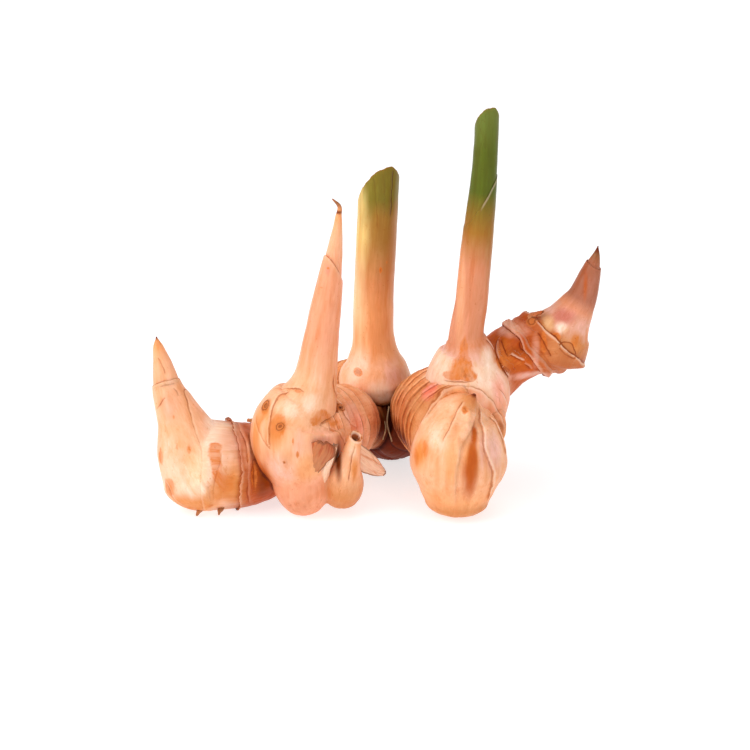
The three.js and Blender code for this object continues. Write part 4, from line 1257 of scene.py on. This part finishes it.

# %% [markdown]
# ## Finishes
#
# The skin of a root is waxy: a broad soft highlight over a fine fibrous grain. The tone comes from the vertices.
# Over it go pale and dark fibres, a faint mottling, the stains with their fibrous edges, dirt with painted shade in
# the creases, and a brown line with a pale papery rim at every scale edge. Between two ring scars the colour runs
# from rust in the groove to pale at the crest, which is a painted highlight. A little light is let into the skin,
# which warms the shadows as in any juicy root.


# %% Skin
def skin_finish(name):
    f = Finish(name)
    grain, tone = f.attribute("grain"), f.attribute("tone", "Color")
    stain, dirt_and_shade, scar = f.split(f.attribute("marks"))
    count, height, calm = f.split(f.attribute("rings"))
    signed, dark, pale = f.split(f.attribute("edges"))
    place = f.node("ShaderNodeTexCoord", out="Object")
    fine = f.noise(f.scaled(grain, (1, 1, 0.06)), 1500, 3, 0.6)
    broad = f.noise(f.scaled(grain, (1, 1, 0.14)), 420, 3, 0.6)
    round_it = f.noise(f.scaled(grain, (0.3, 0.3, 1)), 1300, 3, 0.65)
    streak = f.noise(f.scaled(grain, (1, 1, 0.1)), 260, 4, 0.6)
    mottle = f.noise(place, 170, 4, 0.6)
    mottle += (streak - mottle) * calm * 0.6
    patch = f.noise(place, 62, 4, 0.55, 0.3)
    patch += (streak - patch) * calm * 0.8
    speck = f.noise(place, 900, 2, 0.5)
    fibres = 1.1 - calm * 0.45

    def tint(share, colour, red, green, blue):
        return f.mix(share, colour, rgb(red, green, blue))

    def times(share, colour, red, green, blue):
        """Darkens or lightens a colour by a factor for each channel, so a dark skin stays dark."""
        return f.mix(share, colour, f.scaled(colour, (red, green, blue)))

    colour = times((patch - 0.5).between(0.0, 0.14), tone, 1.12, 1.2, 1.34)
    colour = times((0.5 - patch).between(0.0, 0.14), colour, 0.94, 0.82, 0.68)
    colour = times((mottle - 0.5).between(0.0, 0.2) * 0.7, colour, 0.95, 0.85, 0.74)
    colour = times((fine - 0.5).between(0.0, 0.2) * fibres * 0.8, colour, 1.1, 1.16, 1.22)
    colour = times((0.5 - broad).between(0.0, 0.2) * fibres * 0.8, colour, 0.92, 0.78, 0.64)
    vein = (f.noise(f.scaled(grain, (1, 1, 0.2)), 330, 2, 0.5, 0.6) - 0.5).size()
    colour = times(vein.between(0.012, 0.0) * mottle.between(0.48, 0.62) * fibres * 0.7, colour, 0.72, 0.46, 0.24)

    # ring scars
    part, ring = count.math("FRACT"), count.math("FLOOR")
    chance = f.node("ShaderNodeTexWhiteNoise", {"noise_dimensions": "1D"}, {"W": ring})
    worn = f.noise(f.scaled(grain, (1, 1, 0.5)), 110, 2).between(0.3, 0.55)
    strength = height.between(0.06, 0.4) * (worn * 0.7 + 0.3) * (chance * 0.6 + 0.4)
    colour = times(chance.between(0.3, 0.8) * strength * 0.8, colour, 1.06, 0.9, 0.8)
    colour = times(part.between(0.75, 0.0) * strength * 0.8, colour, 0.86, 0.62, 0.42)
    colour = times((round_it - 0.5).between(0.02, 0.2) * strength, colour, 1.12, 1.2, 1.3)
    colour = times((0.5 - round_it).between(0.02, 0.2) * strength, colour, 0.8, 0.6, 0.42)
    # the lighter crest of each ring is a painted highlight
    crest_highlight = part.between(0.6, 0.78) * part.between(0.92, 0.84) * strength
    shifted = (part - 0.95 + (round_it - 0.5) * 0.1).size()
    groove = shifted.between(0.13, 0.02) * strength
    colour = times(crest_highlight * 0.8, colour, 1.15, 1.3, 1.45)
    colour = times(groove * 0.9, colour, 0.42, 0.22, 0.1)

    # stains with fibrous edges
    edge = (fine - 0.5) * 0.5 + (broad - 0.5) * 0.8 + (mottle - 0.5) * 1.2
    fibre = (0.5 - broad + (streak - 0.5) * 0.8).between(-0.14, 0.16)
    blot = (stain + edge).between(0.28, 0.62)
    deep = (stain * 0.55 + edge * 1.5).between(0.45, 0.9)
    colour = tint(blot * (0.5 + fibre * 0.45), colour, 218, 122, 52)
    colour = tint(deep * (0.35 + fibre * 0.6), colour, 172, 82, 26)

    # dirt and painted shade in the creases
    grime_and_shade = (dirt_and_shade + (mottle - 0.5) * 0.5 + (broad - 0.5) * 0.6).between(0.3, 1.0)
    colour = times(grime_and_shade * 0.9, colour, 0.32, 0.16, 0.06)

    # scale edges
    shaky = signed + (broad - 0.5) * 0.7
    rim = shaky.between(0.1, 0.4) * shaky.between(1.4, 0.5) * pale
    line = (shaky + 0.1).size().between(0.42, 0.1) * dark * (mottle.between(0.32, 0.6) * 0.6 + 0.4)
    stroke = shaky.between(-2.2, -0.2) * shaky.between(0.3, 0.0) * dark
    colour = times(stroke * 0.6, colour, 0.86, 0.64, 0.42)
    colour = tint(rim * 0.6, colour, 246, 210, 184)
    colour = times(line * 0.92, colour, 0.42, 0.18, 0.06)

    # root scars
    wobbly = scar + (speck - 0.5) * 0.2 + (mottle - 0.5) * 0.3
    ripple = (wobbly * 21).math("SINE")
    rosette = wobbly.between(0.06, 0.3)
    colour = tint(rosette * 0.75, colour, 204, 116, 56)
    colour = tint(rosette * ripple.between(-0.3, 0.8) * 0.7, colour, 140, 66, 24)
    colour = tint(wobbly.between(0.7, 0.9), colour, 92, 40, 14)

    colour = times(speck.between(0.68, 0.76) * 0.6, colour, 0.75, 0.5, 0.3)
    bump = (
        fine * fibres * 0.07 + broad * fibres * 0.12 + mottle * 0.14 + round_it * strength * 0.25 + rim * 0.15
        - groove * 0.3 - line * 0.22 + rosette * ripple * 0.12 - grime_and_shade * 0.15
    )
    normal = f.bumped(bump)
    rough = 0.42 - calm * 0.09 + (mottle - 0.5) * 0.25 + blot * 0.12 + grime_and_shade * 0.2 + strength * 0.12
    return f.surface(
        Base_Color=colour, Roughness=rough, Normal=normal, Subsurface_Weight=0.15,
        Subsurface_Radius=(0.0035, 0.0014, 0.0007), Subsurface_Scale=1.0, Specular_IOR_Level=0.13,
    )


SKIN, SHEATH, TIP, STEM = map(skin_finish, ("waxy_skin", "shoot_sheath", "shoot_tip", "green_stem"))
print("skin finishes:", ", ".join(m.name for m in (SKIN, SHEATH, TIP, STEM)))

# %% [markdown]
# ## The rhizome
#
# The rhizome joins twelve lobes. The ones that turn into shoots stop a little above their foot and taper inside the
# sheath there, so the two skins cross at a very low angle and no seam shows. It is made in two halves, which meet in
# the dark crease under the middle stem, because a mesh of this fineness in one piece would be very heavy.

# %% The rhizome's skin
VOXEL, SMOOTHING = 0.6, 3  # mm, and rounds of smoothing
RING_SPACING = 1.0  # mm between the rows of a lobe before the remesh
AROUND = 96  # vertices round a lobe before the remesh
SINK = 1.6  # mm by which a lobe narrows inside the sheath above it


def whole_rows(lobe, spacing=RING_SPACING):
    """Rows from pole to pole, closer together at the rounded ends."""
    count = int(lobe.length / spacing) + 6
    eased = (1 - np.cos(np.linspace(0, math.pi, count))) / 2
    return poled((0.5 * (eased + np.linspace(0, 1, count)))[1:-1])


def whole(name, grow=0.0):
    """A whole lobe, from one rounded end to the other."""
    lobe = LOBES[name]
    mesh, _, run, turn, radius = turned(lobe, whole_rows(lobe), AROUND)
    move(mesh, lobe.place(run, turn, radius + grow * (radius > 0)))
    return mesh


def stump(name, cut, taper):
    """A lobe up to its cut, then narrowing inside the sheath over this many mm."""
    lobe = LOBES[name]
    top = crossing(lobe, CUTS[cut])
    rows = poled(np.linspace(0.02, 1, int(lobe.length * 0.6 / RING_SPACING) + 8))
    mesh, _, run, turn, radius = turned(lobe, rows, AROUND, 0.0, lambda t: top(t) + taper)
    sunk = SINK * smooth(-0.4 * taper, taper, run - top(turn)) ** 1.4
    move(mesh, lobe.place(run, turn, np.maximum(radius - sunk, 0) * (radius > 0)))
    return mesh


# The lobes that turn into a shoot: where each is cut, and over how many mm it narrows.
STUMPS = {
    "left": ("left_lip", 1.0), "centre": ("centre_foot", 9.0), "small": ("small_foot", 3.0),
    "middle": ("middle_foot", 9.0), "tall": ("tall_foot", 9.0), "front": ("front_foot", 2.0),
    "branch": ("branch_foot", 2.0),
}
# Each half of the rhizome: its lobes, and the lobes of the other half that lie against it.
HALVES = {
    "left": (["left_neck", "left", "centre_body", "centre", "small"], ["rear_knot", "middle"]),
    "right": (["rear_knot", "middle", "right_body", "tall", "front", "branch_body", "branch"], ["centre_body"]),
}
for half, (lobes, neighbours) in HALVES.items():
    parts = [stump(name, *STUMPS[name]) if name in STUMPS else whole(name) for name in lobes]
    rhizome_skin = remeshed(parts, VOXEL, SMOOTHING)
    grow_skin(rhizome_skin, lobes, neighbours=neighbours)
    finished(rhizome_skin, f"rhizome_{half}", SKIN, "skin", "rhizome")

# %% [markdown]
# ## The left lobe's sheath
#
# The left lobe ends in an upright shoot. Its youngest sheath wraps the outer side of the lobe, and its margin runs
# down the front as a fine line. The sheath is the same lobe and neck joined and remeshed, a little proud of the
# rhizome's skin, and cut along that margin by the bmesh operator bisect_plane. A second cut makes the lip. Each cut
# is filled, and the lip's fill is inset and pushed down, which leaves a thin wall round the shoot inside.


# %% Cutting a skin
def plane_of(cut, lift=0.0):
    point, direction = CUTS[cut] if isinstance(cut, str) else cut
    way = Vector(direction).normalized()
    return Vector(point) * MM + way * lift * MM, way


def cut_away(bm, cut, side, lift=0.0):
    """Removes what lies beyond a plane (side 1) or before it (side -1), and closes the cut. Returns its face."""
    point, way = plane_of(cut, lift)
    geometry = bm.verts[:] + bm.edges[:] + bm.faces[:]
    sliced = bmesh.ops.bisect_plane(
        bm, geom=geometry, dist=1e-7, plane_co=point, plane_no=way, clear_outer=side > 0, clear_inner=side < 0
    )
    rim = [e for e in sliced["geom_cut"] if isinstance(e, bmesh.types.BMEdge) and e.is_boundary]
    return bmesh.ops.contextual_create(bm, geom=rim)["faces"]


LIP_WALL, LIP_DEPTH = 0.35, 2.0


def lipped(mesh, cut):
    """Cuts a skin off at its lip and hollows it there."""
    _, way = plane_of(cut)
    with edited(mesh) as bm:
        bottom = cut_away(bm, cut, 1)
        bmesh.ops.inset_region(bm, faces=bottom, thickness=LIP_WALL * MM, use_even_offset=True)
        pushed = bmesh.ops.extrude_face_region(bm, geom=bottom)["geom"]
        corners = [v for v in pushed if isinstance(v, bmesh.types.BMVert)]
        bmesh.ops.translate(bm, verts=corners, vec=-way * LIP_DEPTH * MM)
        bmesh.ops.delete(bm, geom=bottom, context="FACES_ONLY")


def trimmed(mesh, cut, lift):
    """Takes away what lies before a plane that is moved along by `lift`."""
    with edited(mesh) as bm:
        cut_away(bm, cut, -1, lift)


def waved(mesh, cut, height=0.5, reach=5.0):
    """Lets a lip wander up and down."""
    point, way = cut_plane(CUTS[cut])
    points = coordinates(mesh) / MM
    near = smooth(reach, 0.3 * reach, np.abs((points - point) @ way))
    flat = points * (1, 1, 0.2)
    wave = noise(flat, 6, 71) + 0.5 * noise(flat, 2.5, 72)
    move(mesh, points + way * (height * near * wave)[:, None])


SHEATH_PROUD = 0.12
left_sheath = remeshed([whole("left_neck", SHEATH_PROUD), whole("left", SHEATH_PROUD)], 0.5, 2)
grow_skin(left_sheath, ["left_neck", "left"], SHEATH_PROUD, under=["left_seam"])
trimmed(left_sheath, "left_foot", -3.6)
lipped(left_sheath, "left_lip")
rim_line(left_sheath, "left_lip")
waved(left_sheath, "left_lip")
finished(left_sheath, "left_sheath", SHEATH, "sheath", "left_shoot_sheath")

# %% [markdown]
# ## Spears
#
# Out of each sheath comes the next one, still rolled into a spear. It is turned a little thinner than the lobe and
# starts inside the sheath. The rows crowd together towards the tip, which is only half a millimetre thick.


# %% Spears
def tip_rows(count):
    """Rows that crowd together towards the tip."""
    return poled(np.sin(np.linspace(0, math.pi / 2, count))[:-1])


SPEAR_INTO = 6.0  # mm below the lip at which a spear starts
SPEARS = {"left": ("left", 0.35), "centre": ("centre", 0.6), "right": ("branch", 0.25)}  # lobe, mm thinner
for side, (name, thinner) in SPEARS.items():
    lobe = LOBES[name]
    lip = crossing(lobe, CUTS[f"{name}_lip"])
    mesh, row, run, turn, radius = turned(lobe, tip_rows(150), 72, lambda t: lip(t) - SPEAR_INTO)
    dress_tube(mesh, lobe, row, run, turn, radius, -thinner)
    finished(mesh, f"{side}_spear", TIP, "tip", f"{side}_shoot_spear")

# %% [markdown]
# ## Sheaths and cut stems
#
# The three upright shoots are tubes. At its foot each tube starts a little inside the rhizome's skin and comes
# through it slowly, which hides the join. At the top, either the sheath has a thin lip, or the stem has been cut: the
# cut shows the rolled leaf bases as rings, one inside the other.


# %% Tubes
def body_rows(count):
    return poled(np.linspace(0, 1, count))[:-2]


def lip_rows(body, wall=0.5, depth=3.0):
    """Rows up to a lip, over it and down inside."""
    return [
        *body_rows(body), (1, 0.06, -0.1), (1, 0.2, 0.05), (1, wall, 0.0),
        (1, wall + 0.15, -0.6), (1, wall + 0.3, -depth), (1, None, -depth),
    ]


def cut_rows(body, thick, layers):
    """Rows up to a cut, then rings of rolled leaf bases down to the middle."""
    rows = [*body_rows(body), (1, 0.05, -0.05)]
    wide = thick / layers
    for i in range(layers):
        outer = wide * i
        rows += [
            (1, outer + 0.12 * wide, 0.1 - 0.12 * i), (1, outer + 0.62 * wide, 0.05 - 0.1 * i),
            (1, outer + 0.72 * wide, -0.5 - 0.12 * i), (1, outer + 0.9 * wide, -0.5 - 0.12 * i),
        ]
    return [*rows, (1, None, -0.4)]


def tube(
    name, foot, top, rows, into=8.0, feather=0.35, over=8.0, around=130, grow=0.0, cut_from=None, cut_tone=None,
    torn=0.2,
):
    """A tube up a lobe. It starts `into` mm below its foot, and is `feather` mm thinner until `over` mm later."""
    lobe = LOBES[name]
    low, level = crossing(lobe, CUTS[foot]), crossing(lobe, CUTS[top])

    def high(turn):
        ring = np.column_stack([np.cos(turn) * 2.4, np.sin(turn) * 2.4, turn * 0])
        return level(turn) + torn * (noise(ring, 1.0, 70) + 0.6 * noise(ring, 0.4, 71))

    mesh, row, run, turn, radius = turned(lobe, rows, around, lambda t: low(t) - into, high)
    share, thinner, further = np.array(rows, float).T[:, row]
    on_top = share == 1
    full = lobe.at(lobe.radius, high(turn))
    centre = high(TURNS).mean()
    inner = np.where(np.isnan(thinner), 0, np.maximum(full - thinner, 0))
    run[on_top] = (centre + (high(turn) - centre) * inner / full + further)[on_top]
    radius[on_top] = inner[on_top]
    hidden = feather * (1 - smooth(-into, over - into, run - low(turn)))
    radius = np.where(radius > 0, np.maximum(radius - hidden * ~on_top, 0.05), 0)
    dress_tube(mesh, lobe, row, run, turn, radius, grow, cut_from, cut_tone)
    return mesh


centre_sheath = tube("centre", "centre_foot", "centre_lip", lip_rows(200))
rim_line(centre_sheath, "centre_lip")
finished(centre_sheath, "centre_sheath", SHEATH, "sheath", "centre_shoot_sheath")


def layered(radius, turn):
    """The tone of a cut stem: brown where it dried at the rim, pale green rings inside."""
    reach = np.clip(radius / max(radius.max(), 1e-6), 0, 1)
    place = np.column_stack([radius * np.cos(turn), radius * np.sin(turn), radius * 0])
    ring = 0.5 + 0.4 * np.sin(reach * 24 + 2.5 * noise(place, 5, 73)) + 0.4 * noise(place, 1.6, 74)
    pale, dark, dry = np.array([rgb(206, 190, 124), rgb(146, 128, 66), rgb(150, 96, 48)])
    colour = dark + (pale - dark) * np.clip(ring, 0, 1)[:, None]
    return colour + (dry - colour) * smooth(0.86, 1.0, reach)[:, None]


MIDDLE_ROWS, TALL_ROWS = 170, 90  # rows below each cut
middle_stem = tube(
    "middle", "middle_foot", "middle_top", cut_rows(MIDDLE_ROWS, 8.0, 5), around=160,
    cut_from=MIDDLE_ROWS, cut_tone=layered, torn=0.7,
)
finished(middle_stem, "middle_stem_skin", STEM, "sheath", "middle_stem")

tall_sheath = tube("tall", "tall_foot", "tall_lip", lip_rows(240, 0.15, 4.0), torn=0.1)
rim_line(tall_sheath, "tall_lip", 0.5, 0.5, 1.2, lost=(40.5, 42.5))
finished(tall_sheath, "tall_sheath", SHEATH, "sheath", "tall_stem_sheath")

tall_stem = tube(
    "tall", "tall_lip", "tall_top", cut_rows(TALL_ROWS, 4.2, 3), into=10.0, feather=0.0, over=1.0, around=100,
    grow=-0.22, cut_from=TALL_ROWS, cut_tone=layered, torn=0.5,
)
finished(tall_stem, "tall_stem_skin", STEM, "green", "tall_stem")

# %% [markdown]
# ## The right-hand shoot
#
# The side branch turns up at its end into a small shoot. Dead sheaths are left round it: a twisted pale ridge, then a
# tan sheet with a deep groove, whose thin lip stands off from the bulb. All of it grew as one skin over the branch, so
# it is the branch's lobes joined, a little proud. The folds are edges of the plane kind, which run right round it.

# %% Right sheath
BRANCH_PROUD = 0.4
branch_sheath = remeshed([whole("branch_body", BRANCH_PROUD), whole("branch", BRANCH_PROUD)], 0.45, 2)
grow_skin(
    branch_sheath, ["branch_body", "branch"], BRANCH_PROUD, rims=("branch_fold", "branch_margin", "branch_lip"),
    over=("branch_margin",), dive=1.3,
)
trimmed(branch_sheath, "branch_margin", -3.4)
lipped(branch_sheath, "branch_lip")
finished(
    branch_sheath, "branch_sheath", SHEATH, "sheath",
    "right_branch_collar", "right_branch_scale", "right_shoot_sheath",
)

# %% [markdown]
# ## Buds and their scales
#
# The front lobe is a bud: a pointed horn between two fat scales that leave a furrow between them. Each scale is a
# skin of the same lobe, a little proud of the bud. At the furrow, at the foot and at the top it dives under the bud's
# own skin, so only its curved margin shows. The bmesh operator bisect_plane takes away the half that is not needed.


# %% Front bud
front = LOBES["front"]
front_foot = crossing(front, CUTS["front_foot"])
BUD_INTO = 5.0  # mm below its foot at which the bud's skin starts
mesh, row, run, turn, radius = turned(front, tip_rows(170), 170, lambda t: front_foot(t) - BUD_INTO)
dress_tube(mesh, front, row, run, turn, radius)
finished(mesh, "front_bud_skin", TIP, "sheath", "front_bud")

SCALE_PROUD = 0.3  # mm that a scale stands off
SCALE_DIVE = SCALE_PROUD + 0.9  # mm that its ends go down again
TOP_DIVE, FOOT_DIVE = (3.5, 0.0), (12.0, 2.0)  # mm from its ends between which it goes down
# Each scale: the edge that is its margin, and the cut that takes away its other half.
SCALES = {
    "left": ("furrow_left", ((35.7, -47, 38.1), (-0.99, 0.09, 0.12))),
    "right": ("furrow_right", ((42.8, -44.5, 37.7), (0.97, 0.05, 0.24))),
}
scale_low, scale_high = (crossing(front, ((33, -32.5, z), (0, 0, 1))) for z in (6, 45.5))
for side, (edge, cut) in SCALES.items():
    mesh, row, run, turn, radius = turned(front, poled(np.linspace(0, 1, 130)), 170, scale_low, scale_high)
    sunk = smooth(*TOP_DIVE, scale_high(turn) - run) + smooth(*FOOT_DIVE, run - scale_low(turn))
    dress_tube(
        mesh, front, row, run, turn, radius, SCALE_PROUD, height=-SCALE_DIVE * sunk, over=(edge,), dive=SCALE_DIVE
    )
    trimmed(mesh, cut, -3.5)
    finished(mesh, f"bud_scale_{side}", SHEATH, "scale", f"front_bud_scale_{side}")

# %% [markdown]
# ## The small bud
#
# Between the two big lobes sits a small bud that never opened: a crooked tube whose thick pale lip surrounds a hollow
# painted dark with shade, a dried stalk beside it, and two torn papery scales.


# %% Small bud
def hollow(radius, turn):
    """The tone inside the mouth: orange brown at the lip, nearly black in the middle, where the dark is painted shade.
    """
    reach = np.clip(radius / max(radius.max(), 1e-6), 0, 1)[:, None]
    deep, lip = np.array([rgb(58, 24, 8), rgb(176, 92, 40)])
    return deep + (lip - deep) * reach**2


mouth_rows = lip_rows(110, 0.85, 2.4)
small_bud = tube(
    "small", "small_foot", "small_mouth", mouth_rows, into=5.0, feather=0.3, over=5.0, around=90,
    cut_from=len(mouth_rows) - 3, cut_tone=hollow,
)
rim_line(small_bud, "small_mouth", 0.9, 0.9, 2.2)
finished(small_bud, "small_bud_skin", TIP, "tip", "small_bud")

# %% [markdown]
# ## Papery scales
#
# Old scale leaves dry to brown paper. A flap starts as a flat grid, made by the operator create_grid, is laid along
# its path with a cupped section and torn edges, and gets its thickness from a solidify modifier, which can be
# changed later. Its finish is tan with dark parallel veins and a darker ragged edge.


# %% Paper finish
def paper_finish(name, warm):
    f = Finish(name)
    grain, tone = f.attribute("grain"), f.attribute("tone", "Color")
    edge, _, _ = f.split(f.attribute("marks"))
    veins = f.noise(f.scaled(grain, (1, 1, 0.05)), 1900, 2, 0.6)
    wide = f.noise(f.scaled(grain, (1, 1, 0.1)), 600, 3, 0.6)
    mottle = f.noise(grain, 220, 4, 0.6)
    colour = f.mix((veins - 0.5).between(0.0, 0.25) * 0.5, tone, f.scaled(tone, (1.15, 1.3, 1.5)))
    colour = f.mix((0.5 - wide).between(0.0, 0.2) * 0.9, colour, f.mix(1.0, colour, warm, "MULTIPLY"))
    colour = f.mix((mottle - 0.55).between(0.0, 0.2) * 0.5, colour, rgb(190, 104, 48))
    colour = f.mix((edge + (mottle - 0.5) * 0.8).between(0.45, 0.9) * 0.7, colour, rgb(120, 64, 32))
    bump = veins * 0.16 + wide * 0.3 + mottle * 0.35
    normal = f.bumped(bump)
    return f.surface(
        Base_Color=colour, Roughness=0.55 + (mottle - 0.5) * 0.3, Normal=normal, Subsurface_Weight=0.1,
        Subsurface_Radius=(0.002, 0.001, 0.0006), Subsurface_Scale=1.0, Specular_IOR_Level=0.35,
    )


PAPER = paper_finish("dry_scale", rgb(222, 150, 84))


def flap(name, path, facing, tone, node, seed, torn, cup=0.5, thick=0.5):
    """A torn papery scale along a path of x, y, z and half width, facing a direction."""
    strip = Lobe(name, path, (0.3, 0.3))
    mesh = bpy.data.meshes.new(name)
    with edited(mesh) as bm:
        bmesh.ops.create_grid(bm, x_segments=60, y_segments=100, size=0.5)

    def ragged(across, along, number):
        return noise(np.column_stack([across, along, along * 0 + seed]), 1.0, number)

    where = coordinates(mesh)
    v, u = where[:, 0] * 2, where[:, 1] + 0.5
    run = strip.length * (0.03 + 0.94 * u)
    side_rag = 1 + torn * ragged(np.sign(v) * 3, u * 9, 30) * np.abs(v)
    end_rag = torn * 4 * ragged(v * 4, u * 0, 31) * smooth(0.6, 1, u)
    half = np.maximum(strip.at(strip.radius, run), 0.3) * side_rag
    along = strip.at(strip.tangent, run)
    way = np.array(facing, float)
    out = way - along * (along @ way)[:, None]
    out /= np.linalg.norm(out, axis=1)[:, None]
    side = np.cross(along, out)
    lift = -cup * half * v**2 + 0.45 * ragged(v * 3.6, u * 5.4, 32)
    points = strip.at(strip.axis, run) + side * (half * v)[:, None]
    move(mesh, points + out * lift[:, None] + along * end_rag[:, None])
    straight = np.column_stack([half * v, u * 0, run])
    write(mesh, "grain", straight * MM)
    border = np.maximum(smooth(0.7, 1.0, np.abs(v)), smooth(0.9, 1.0, u))
    write(mesh, "marks", np.column_stack([border, u * 0, u * 0]))
    colours = np.tile(TONES[tone], (len(v), 1))
    write(mesh, "tone", colours + (np.array(TONES["ivory"]) - colours) * (0.3 * (1 - u))[:, None])
    piece = finished(mesh, name, PAPER, "scale", node)
    wall = piece.modifiers.new("thickness", "SOLIDIFY")
    wall.thickness, wall.offset = thick * MM, 0
    return piece


flap(
    "bud_flap_left",
    [(-28.4, -39, 16, 1.6), (-26.6, -45.4, 22.5, 2.6), (-24, -49, 29.5, 4.2), (-21.9, -51, 35, 4.8),
     (-21.2, -51.8, 38.8, 1.8)],
    (0.0, -1, 0.3), "russet", "small_bud_scale_left", seed=1, torn=0.2,
)
flap(
    "bud_stalk", [(-21.2, -38, 14, 2.6), (-20.2, -46, 24.5, 2.1), (-18.2, -48, 31, 1.6), (-16.2, -48.6, 36.6, 0.7)],
    (0.3, -1, 0.1), "pale", "small_bud_scale_left", seed=4, torn=0.15, cup=1.0, thick=0.6,
)
flap(
    "bud_flap_right", [(-9, -29, 25, 4.4), (-4, -29, 21, 4.6), (0, -27.9, 17.6, 3.4), (3.4, -26.7, 14.4, 0.7)],
    (0.5, -0.8, 0.4), "pale", "small_bud_scale_right", seed=2, torn=0.06, cup=0.3,
)
flap(
    "branch_curl", [(61.5, -4, 74.6, 0.9), (64.6, -4.8, 76.6, 1.1), (67.6, -6.2, 77.6, 0.5)],
    (-0.3, -0.3, 0.9), "rust", "branch_papery_curl", seed=3, torn=0.3, cup=0.8, thick=0.35,
)

# %% [markdown]
# ## The neck's collar
#
# Round the left neck a dead sheath has shrunk to a narrow collar. It is a thin wall round the lobe: the profile runs
# up outside and back down inside, and the spin closes it. The foot hugs the neck, and the free edge is torn and
# stands off.


# %% Collar
def shell(lobe, low, high, outer, inner, around, rows):
    """A closed wall round a lobe, from one distance along it to another."""
    profile = [*range(rows), *reversed(range(rows))]
    mesh, row, turn = spun(lobe.name, [1] * len(profile), around, closed=True)
    share = np.array(profile)[row] / (rows - 1)
    run = low(turn) + (high(turn) - low(turn)) * share
    stand = np.where(row < rows, outer(share, turn), inner(share, turn))
    move(mesh, above_floor(lobe.place(run, turn, lobe.at(lobe.radius, run) + stand)))
    with edited(mesh) as bm:
        bmesh.ops.recalc_face_normals(bm, faces=bm.faces)
    return mesh, run, turn, share


def wander(turn, size, seed):
    return noise(np.column_stack([np.cos(turn) * size, np.sin(turn) * size, turn * 0]), 1.0, seed)


neck = LOBES["left_neck"]
neck_low, neck_high = crossing(neck, CUTS["neck_low"]), crossing(neck, CUTS["neck_high"])
COLLAR_FLARE, COLLAR_WALL = 1.3, 0.4
COLLAR_NARROWEST = 0.8  # mm from its foot to its free edge


def collar_low(turn):
    return neck_low(turn) + 0.7 * wander(turn, 3, 40)


def collar_high(turn):
    torn = neck_high(turn) + 0.8 * wander(turn, 4, 41) + 0.5 * wander(turn, 14, 42)
    return np.maximum(torn, collar_low(turn) + COLLAR_NARROWEST)


def collar_outside(share, turn):
    return 0.1 + COLLAR_FLARE * share**2 * (0.8 + 0.6 * wander(turn, 5, 43)) + 0.12 * wander(turn, 22, 44) * share


def collar_inside(share, turn):
    return collar_outside(share, turn) - 0.1 - COLLAR_WALL


mesh, run, turn, share = shell(neck, collar_low, collar_high, collar_outside, collar_inside, 220, 22)
nothing = share * 0
points = coordinates(mesh) / MM
write(mesh, "grain", straightened(neck, run, turn, neck.at(neck.radius, run)) * MM)
write(mesh, "marks", np.column_stack([0.3 * smooth(0.6, 1.0, share), nothing, nothing]))
write(mesh, "rings", np.column_stack([nothing, nothing, nothing + 0.3]))
write(mesh, "edges", np.column_stack([(1 - share) * 3 - 0.1, nothing + 0.8, nothing + 0.5]))
write(mesh, "tone", blushed(lobe_tone(neck, run), points))
finished(mesh, "neck_collar", SHEATH, "scale", "left_collar_scale")

# %% [markdown]
# ## Roots
#
# Only stubs of the roots are left, shrivelled and dark, and two pale threads hang in the hollow. They are short
# turned pieces with a knobbly relief.

# %% Root stubs
ROOTS = {
    "stub_front_a": ("tan", [(-70.5, -32.5, 4, 1.6), (-72.2, -35.5, 2.2, 1.2), (-73.2, -37.8, 1, 0.3)]),
    "stub_front_b": ("tan", [(-63, -32.5, 3.5, 1.5), (-63.8, -35, 2.1, 1.1), (-64.3, -37, 1, 0.3)]),
    "stub_back": ("tan", [(-47, -22.5, 35.5, 1.6), (-52.5, -23, 36.6, 0.7)]),
    "thread_a": ("ivory", [(5, 11, 29.5, 0.3), (4.2, 6.5, 24, 0.3), (6.2, 5.5, 16, 0.25)]),
    "thread_b": ("ivory", [(3, 10, 24, 0.3), (3.6, 5.5, 22, 0.3), (2.4, 4.9, 17, 0.25)]),
}


def root_finish():
    f = Finish("root")
    grain, tone = f.attribute("grain"), f.attribute("tone", "Color")
    rough = f.noise(f.scaled(grain, (1, 1, 0.3)), 1600, 3)
    colour = f.mix((rough - 0.5).between(-0.1, 0.2), f.mix(0.5, tone, rgb(70, 36, 16)), tone)
    normal = f.bumped(rough * 0.5)
    return f.surface(Base_Color=colour, Roughness=0.6 + rough * 0.2, Normal=normal)


ROOT = root_finish()
for name, (tone, path) in ROOTS.items():
    root = Lobe(name, path)
    mesh, _, run, turn, radius = turned(root, whole_rows(root, 0.3), 24)
    points = root.place(run, turn, radius)
    move(mesh, points)
    facing = normals_of(mesh)
    straight = straightened(root, run, turn, radius)
    size = path[0][3]
    knobs = 0.22 * size * noise(straight * (1, 1, 0.6), 0.9 * size, 50)
    move(mesh, above_floor(points + facing * knobs[:, None]))
    write(mesh, "grain", straight * MM)
    write(mesh, "tone", np.tile(TONES[tone], (len(run), 1)))
    finished(mesh, name, ROOT, "root", f"root_{name}")
